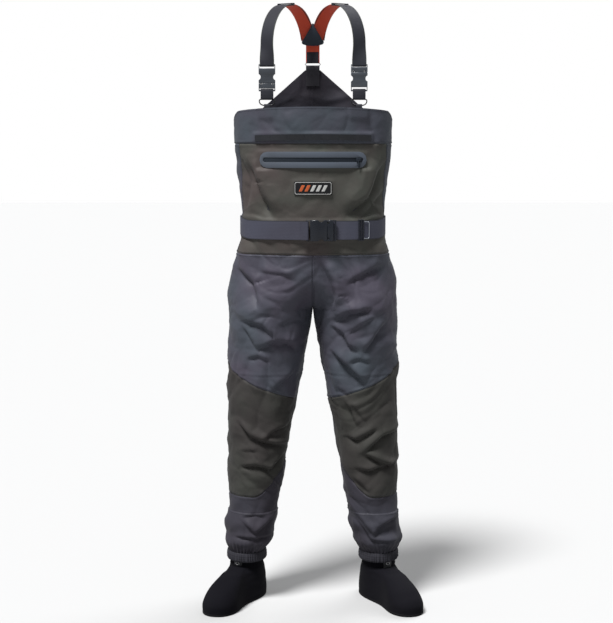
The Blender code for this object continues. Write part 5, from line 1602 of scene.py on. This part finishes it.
@dataclass
class TapeCopy:
    """A short tape that keeps the frame's shape, with bevelled edges and its own cloth coordinates."""

    node: str
    name: str
    finish: str
    side: int = 1

    def build(self, bench: Bench) -> bpy.types.Object:
        """Copies the node, bevels its edges, shades it smooth and lays its coordinates."""
        piece = bench.copy_node(self.node, self.name)
        bench.modify(piece, "BEVEL", width=0.00035, segments=2, limit_method="ANGLE",
                     angle_limit=math.radians(50), use_clamp_overlap=True)
        bpy.ops.object.shade_smooth_by_angle(angle=math.radians(40))
        mesh = piece.data
        points = np.empty(len(mesh.vertices) * 3)
        mesh.vertices.foreach_get("co", points)
        points = points.reshape(-1, 3)
        centre = points.mean(axis=0)
        spans = points - centre
        _, _, axes = np.linalg.svd(spans, full_matrices=False)
        flat = np.stack([spans @ axes[0], spans @ axes[1]], axis=1)
        layer = mesh.uv_layers[0] if mesh.uv_layers else mesh.uv_layers.new(name="UVMap")
        corner = np.empty(len(mesh.loops), dtype=int)
        mesh.loops.foreach_get("vertex_index", corner)
        layer.data.foreach_set("uv", flat[corner].ravel())
        return bench.dress(piece, self.finish, body_of(self.node), [self.node])


@dataclass
class BackJoin:
    """The black patch where the braces cross, the stem, the flat ring and the high back's tab."""

    def build(self, bench: Bench) -> None:
        """Builds the join."""
        for leaf in ("inner", "outer"):
            Hardware(f"back_patch_{leaf}", f"patch_leaf_{leaf}", "patch", edge=0.0006).build(bench)
        TapeCopy("back_stem_web", "stem_tape", "stem").build(bench)
        # The tab's finish is the brace webbing lightened: painted light.
        TapeCopy("high_back_tab", "tab_tape", "tab").build(bench)
        Hardware("back_flat_ring", "flat_ring", "ring", wire=True).build(bench)


# ---------------------------------------------------------------- chest pocket


@dataclass
class Pocket:
    """The chest pocket: a welded welt, the coated zip, its slider and pull, and the bag behind."""

    middle: float = ZIP_Z
    zip_length: float = 0.272
    zip_half: float = 0.0056
    teeth_pitch: float = 0.0021
    bag_half: float = 0.130
    bag_rise: float = 0.010
    bag_drop: float = 0.168

    def zip_spot(self, level: float, x: float) -> tuple:
        """A point of the coated zip, with its cloth coordinates and outer direction."""
        teeth = 0.5 + 0.5 * math.sin(x / self.teeth_pitch * math.tau)
        ridge = math.exp(-((abs(level) - 0.2) / 0.16) ** 2)
        dip = math.exp(-((level / 0.05) ** 2))
        out = 0.0012 + 0.0006 * ridge * (0.55 + 0.45 * teeth) - 0.0007 * dip
        return (FORM.arc_point(x, self.middle + level * self.zip_half, out), (x, level * self.zip_half),
                TO_FRONT)

    def coated_zip(self, bench: Bench) -> None:
        """The coated zip: two rows of teeth showing through and a fine line where they meet."""
        half = self.zip_length / 2 - 0.0008
        levels = (-1.0, -0.75, -0.5, -0.3, -0.12, -0.04, 0.0, 0.04, 0.12, 0.3, 0.5, 0.75, 1.0)
        piece = bench.lay("coated_zip", levels, spread(-half, half, 520), self.zip_spot, 0.0009)
        bench.dress(piece, "coil", replaced=["chest_zip_coil"])

    def bag_spot(self, index: int, depth: float, height: float, x: float) -> tuple:
        """A point of one of the bag's layers, which meet at their edges."""
        rim = (smooth((self.bag_half - abs(x)) / 0.02)
               * smooth((height - self.middle + self.bag_drop) / 0.02))
        sag = 0.0010 * noise.noise(Vector((x * 30, height * 30, index * 4.0)))
        return FORM.arc_point(x, height, mix(-0.0135, depth, rim) + sag), (x, height), TO_FRONT

    def bag(self, bench: Bench) -> None:
        """The thin bag that hangs behind the zip, its two layers sewn at the edges."""
        heights = spread(self.middle + self.bag_rise, self.middle - self.bag_drop, 36)
        across = spread(-self.bag_half, self.bag_half, 56)
        layers = [bench.lay(f"bag_layer_{index}", heights, across,
                            partial(self.bag_spot, index, depth), 0.0006)
                  for index, depth in enumerate((-0.0115, -0.0160))]
        bag = bench.join(layers, "pocket_bag_cloth")
        bench.dress(bag, "lining", replaced=["chest_pocket_bag"])

    def build(self, bench: Bench) -> None:
        """Builds the pocket."""
        Hardware("chest_zip_welt", "zip_welt_film", "welt", edge=0.0004).build(bench)
        self.coated_zip(bench)
        Hardware("chest_zip_slider", "zip_slider_body", "coil", edge=0.0003).build(bench)
        Hardware("chest_zip_pull", "zip_pull_tab", "coil", edge=0.0003).build(bench)
        self.bag(bench)


@dataclass
class ChestTrim:
    """The loop webbing above the pocket and the badge below it."""

    strip: tuple[float, float, float] = (STRIP_Z, 0.319, 0.0155)
    badge: tuple[float, float, float] = (BADGE_Z, 0.101, 0.036)
    strip_bow: float = 0.0025
    tacks: int = 8

    def loops(self, bench: Bench) -> list[tuple[np.ndarray, np.ndarray]]:
        """The black webbing sewn down at even steps, so that it stands out in flat loops."""
        height, length, width = self.strip
        middles, tack_lines = [], []
        bays = self.tacks - 1
        for x in spread(-length / 2, length / 2, 169):
            bay = (x / length + 0.5) * bays
            lift = 0.0013 * abs(math.sin(bay * math.pi)) ** 0.6
            middles.append(FORM.arc_point(x, height - self.strip_bow * (2 * x / length) ** 2, 0.0013 + lift))
        tape = Webbing("loop_tape", "gear_loop_strip", "black_web", width, 0.0014)
        tape.build(bench, middles, [Vector((0, 0, 1))] * len(middles))
        for tack in range(self.tacks):
            for shift in (-0.0012, 0.0012):
                x = mix(-length / 2 + 0.003, length / 2 - 0.003, tack / bays) + shift
                base = height - self.strip_bow * (2 * x / length) ** 2
                line = [tuple(FORM.arc_point(x, base + dz, 0.0023)) for dz in spread(-0.0065, 0.0065, 8)]
                tack_lines.append((np.array(line), np.tile(TO_FRONT, (8, 1))))
        return tack_lines

    def badge_plate(self, bench: Bench) -> None:
        """A soft badge: a dark plate with a pale rim and a plain mark of slanting bars."""
        _, length, tall = self.badge
        plate = self.patch(bench, "badge_plate", length, tall, 0.0003, 0.0021, 0.0030)
        bench.dress(plate, "badge", replaced=["chest_badge"])
        rim = self.frame_rim(bench, length - 0.005, tall - 0.005, 0.0012)
        bench.dress(rim, "mark_pale")
        for index in range(5):
            key = "mark_orange" if index < 2 else "mark_pale"
            bar = self.slant(bench, f"badge_bar_{index}", -0.030 + index * 0.015)
            bench.dress(bar, key)

    def patch(self, bench: Bench, name: str, length: float, tall: float, low: float, high: float,
              corner: float) -> bpy.types.Object:
        """A thin plate with round corners bent to the chest."""
        inner_x, inner_z = length / 2 - corner, tall / 2 - corner

        def spot(level: float, share: float) -> tuple:
            x, z = share * length / 2, level * tall / 2
            over = math.hypot(max(abs(x) - length / 2 + corner, 0), max(abs(z) - tall / 2 + corner, 0))
            if over > corner:
                pull = corner / over
                x = math.copysign(inner_x + (abs(x) - length / 2 + corner) * pull, x)
                z = math.copysign(inner_z + (abs(z) - tall / 2 + corner) * pull, z)
            edge = smooth((1.0 - max(abs(share), abs(level))) / 0.04)
            return FORM.arc_point(x, self.badge[0] + z, mix(high - 0.0007, high, edge)), (x, z), TO_FRONT

        return bench.lay(name, spread(-1.0, 1.0, 25), spread(-1.0, 1.0, 65), spot, high - low)

    def frame_rim(self, bench: Bench, length: float, tall: float, width: float) -> bpy.types.Object:
        """A raised line round the badge."""
        corner = 0.0045
        path = []
        for across, up, start in ((1, -1, -90), (1, 1, 0), (-1, 1, 90), (-1, -1, 180)):
            for step in range(7):
                angle = math.radians(start + 15 * step)
                path.append((across * (length / 2 - corner) + corner * math.cos(angle),
                             up * (tall / 2 - corner) + corner * math.sin(angle)))
        path.append(path[0])
        fine = []
        for (x0, z0), (x1, z1) in zip(path, path[1:]):
            steps = max(int(math.hypot(x1 - x0, z1 - z0) / 0.004), 1)
            fine += [(mix(x0, x1, i / steps), mix(z0, z1, i / steps)) for i in range(steps)]
        fine.append(fine[0])
        rows, uvs, outs = [], [], []
        for share in (-1.0, -0.5, 0.0, 0.5, 1.0):
            row = []
            for x, z in fine:
                scale_x = (length / 2 + share * width / 2) / (length / 2)
                scale_z = (tall / 2 + share * width / 2) / (tall / 2)
                lift = 0.0026 - 0.0004 * abs(share) ** 2
                row.append(tuple(FORM.arc_point(x * scale_x, self.badge[0] + z * scale_z, lift)))
            rows.append(row)
            uvs.append([(i * 0.003, share * width / 2) for i in range(len(fine))])
            outs.append([TO_FRONT] * len(fine))
        return bench.sheet("badge_rim", np.array(rows), np.array(uvs), np.array(outs), 0.0006, closed=True)

    def slant(self, bench: Bench, name: str, start: float) -> bpy.types.Object:
        """One slanting bar of the mark."""
        def spot(level: float, share: float) -> tuple:
            x, z = start + share * 0.0085 + level * 0.0040 - 0.004, level * 0.0082
            lift = 0.0026 - 0.0003 * (abs(level) ** 4 + (2 * abs(share - 0.5)) ** 4)
            return FORM.arc_point(x, self.badge[0] + z, lift), (x, z), TO_FRONT

        return bench.lay(name, spread(-1.0, 1.0, 7), spread(0.0, 1.0, 6), spot, 0.0006)

    def build(self, bench: Bench) -> None:
        """Builds the trim and its bar tacks."""
        tacks = self.loops(bench)
        self.badge_plate(bench)
        Stitching(pitch=0.0016, length=0.0017).row(bench, "loop_tacks", tacks)


# ---------------------------------------------------------------- studio


@dataclass
class Studio:
    """The pale floor, the sky, the two suns and the camera."""

    camera_place: tuple[float, float, float] = (-0.0175, -3.70, 1.25)
    aim: tuple[float, float, float] = (-0.0175, 0.0, 0.8128)
    lens: float = 79.3
    sky_light: float = 0.22
    key: float = 4.0
    key_from: tuple[float, float, float] = (-0.9, -1.1, 2.9)
    back: float = 1.4
    back_from: tuple[float, float, float] = (1.2, 1.6, 2.0)

    def floor(self) -> None:
        """A broad pale floor under the feet."""
        Bench.clear()
        bpy.ops.mesh.primitive_plane_add(size=60.0, location=(0.0, 0.0, -0.0006))
        floor = bpy.context.object
        floor.name = "studio_floor"
        material = bpy.data.materials.new("pale_floor")
        material.use_nodes = True
        tree = material.node_tree
        shader = tree.nodes["Principled BSDF"]
        shader.inputs["Roughness"].default_value = 0.95
        shader.inputs["Specular IOR Level"].default_value = 0.0
        path = tree.nodes.new("ShaderNodeLightPath")
        paint = tree.nodes.new("ShaderNodeMix")
        paint.data_type = "RGBA"
        paint.inputs[6].default_value = (0.28, 0.28, 0.28, 1.0)
        paint.inputs[7].default_value = (0.58, 0.58, 0.58, 1.0)
        tree.links.new(path.outputs["Is Camera Ray"], paint.inputs[0])
        tree.links.new(paint.outputs[2], shader.inputs["Base Color"])
        floor.data.materials.append(material)

    def sky(self) -> None:
        """An even pale sky: white where it is seen, softer where it lights."""
        world = bpy.data.worlds.new("studio_sky")
        world.use_nodes = True
        tree = world.node_tree
        seen = tree.nodes["Background"]
        seen.inputs["Strength"].default_value = 1.0
        seen.inputs["Color"].default_value = (1.0, 1.0, 1.0, 1.0)
        light = tree.nodes.new("ShaderNodeBackground")
        light.inputs["Color"].default_value = (0.96, 0.98, 1.0, 1.0)
        light.inputs["Strength"].default_value = self.sky_light
        path = tree.nodes.new("ShaderNodeLightPath")
        blend = tree.nodes.new("ShaderNodeMixShader")
        tree.links.new(path.outputs["Is Camera Ray"], blend.inputs[0])
        tree.links.new(light.outputs[0], blend.inputs[1])
        tree.links.new(seen.outputs[0], blend.inputs[2])
        tree.links.new(blend.outputs[0], tree.nodes["World Output"].inputs["Surface"])
        bpy.context.scene.world = world

    def lights(self) -> None:
        """A high soft key from the front left and a weaker one from behind on the right."""
        for name, place, power, spread_angle in (("key", self.key_from, self.key, 16.0),
                                                 ("back", self.back_from, self.back, 40.0)):
            light = bpy.data.lights.new(name, "SUN")
            light.energy = power
            light.angle = math.radians(spread_angle)
            lamp = bpy.data.objects.new(name, light)
            lamp.location = place
            lamp.rotation_euler = (-Vector(place)).to_track_quat("-Z", "Y").to_euler()
            bpy.context.scene.collection.objects.link(lamp)

    def camera(self) -> None:
        """The camera in front of the chest, looking a little down."""
        data = bpy.data.cameras.new("front_camera")
        data.lens = self.lens
        data.sensor_width = 36.0
        data.sensor_fit = "HORIZONTAL"
        camera = bpy.data.objects.new("front_camera", data)
        camera.location = self.camera_place
        aim = Vector(self.aim) - Vector(self.camera_place)
        camera.rotation_euler = aim.to_track_quat("-Z", "Y").to_euler()
        bpy.context.scene.collection.objects.link(camera)
        bpy.context.scene.camera = camera

    def build(self) -> None:
        """Sets up the studio."""
        self.floor()
        self.sky()
        self.lights()
        self.camera()
        bpy.context.scene.view_settings.view_transform = "Standard"


def main() -> None:
    """Builds every sub-assembly in order and reports each piece."""
    logging.basicConfig(level=logging.INFO, format="%(message)s")
    bench = Bench()
    Studio().build()
    torso = Torso()
    torso.build(bench)
    Stitching().row(bench, "torso_stitches", torso.lines)
    for side, word in SIDES:
        leg = Leg(side, word)
        leg.build(bench)
        Stitching().row(bench, f"leg_stitches_{word}", leg.lines)
        Bootie(side, word).build(bench)
        Brace(side, word).build(bench)
    Pocket().build(bench)
    ChestTrim().build(bench)
    Belt().build(bench)
    BackJoin().build(bench)


if __name__ == "__main__":
    main()
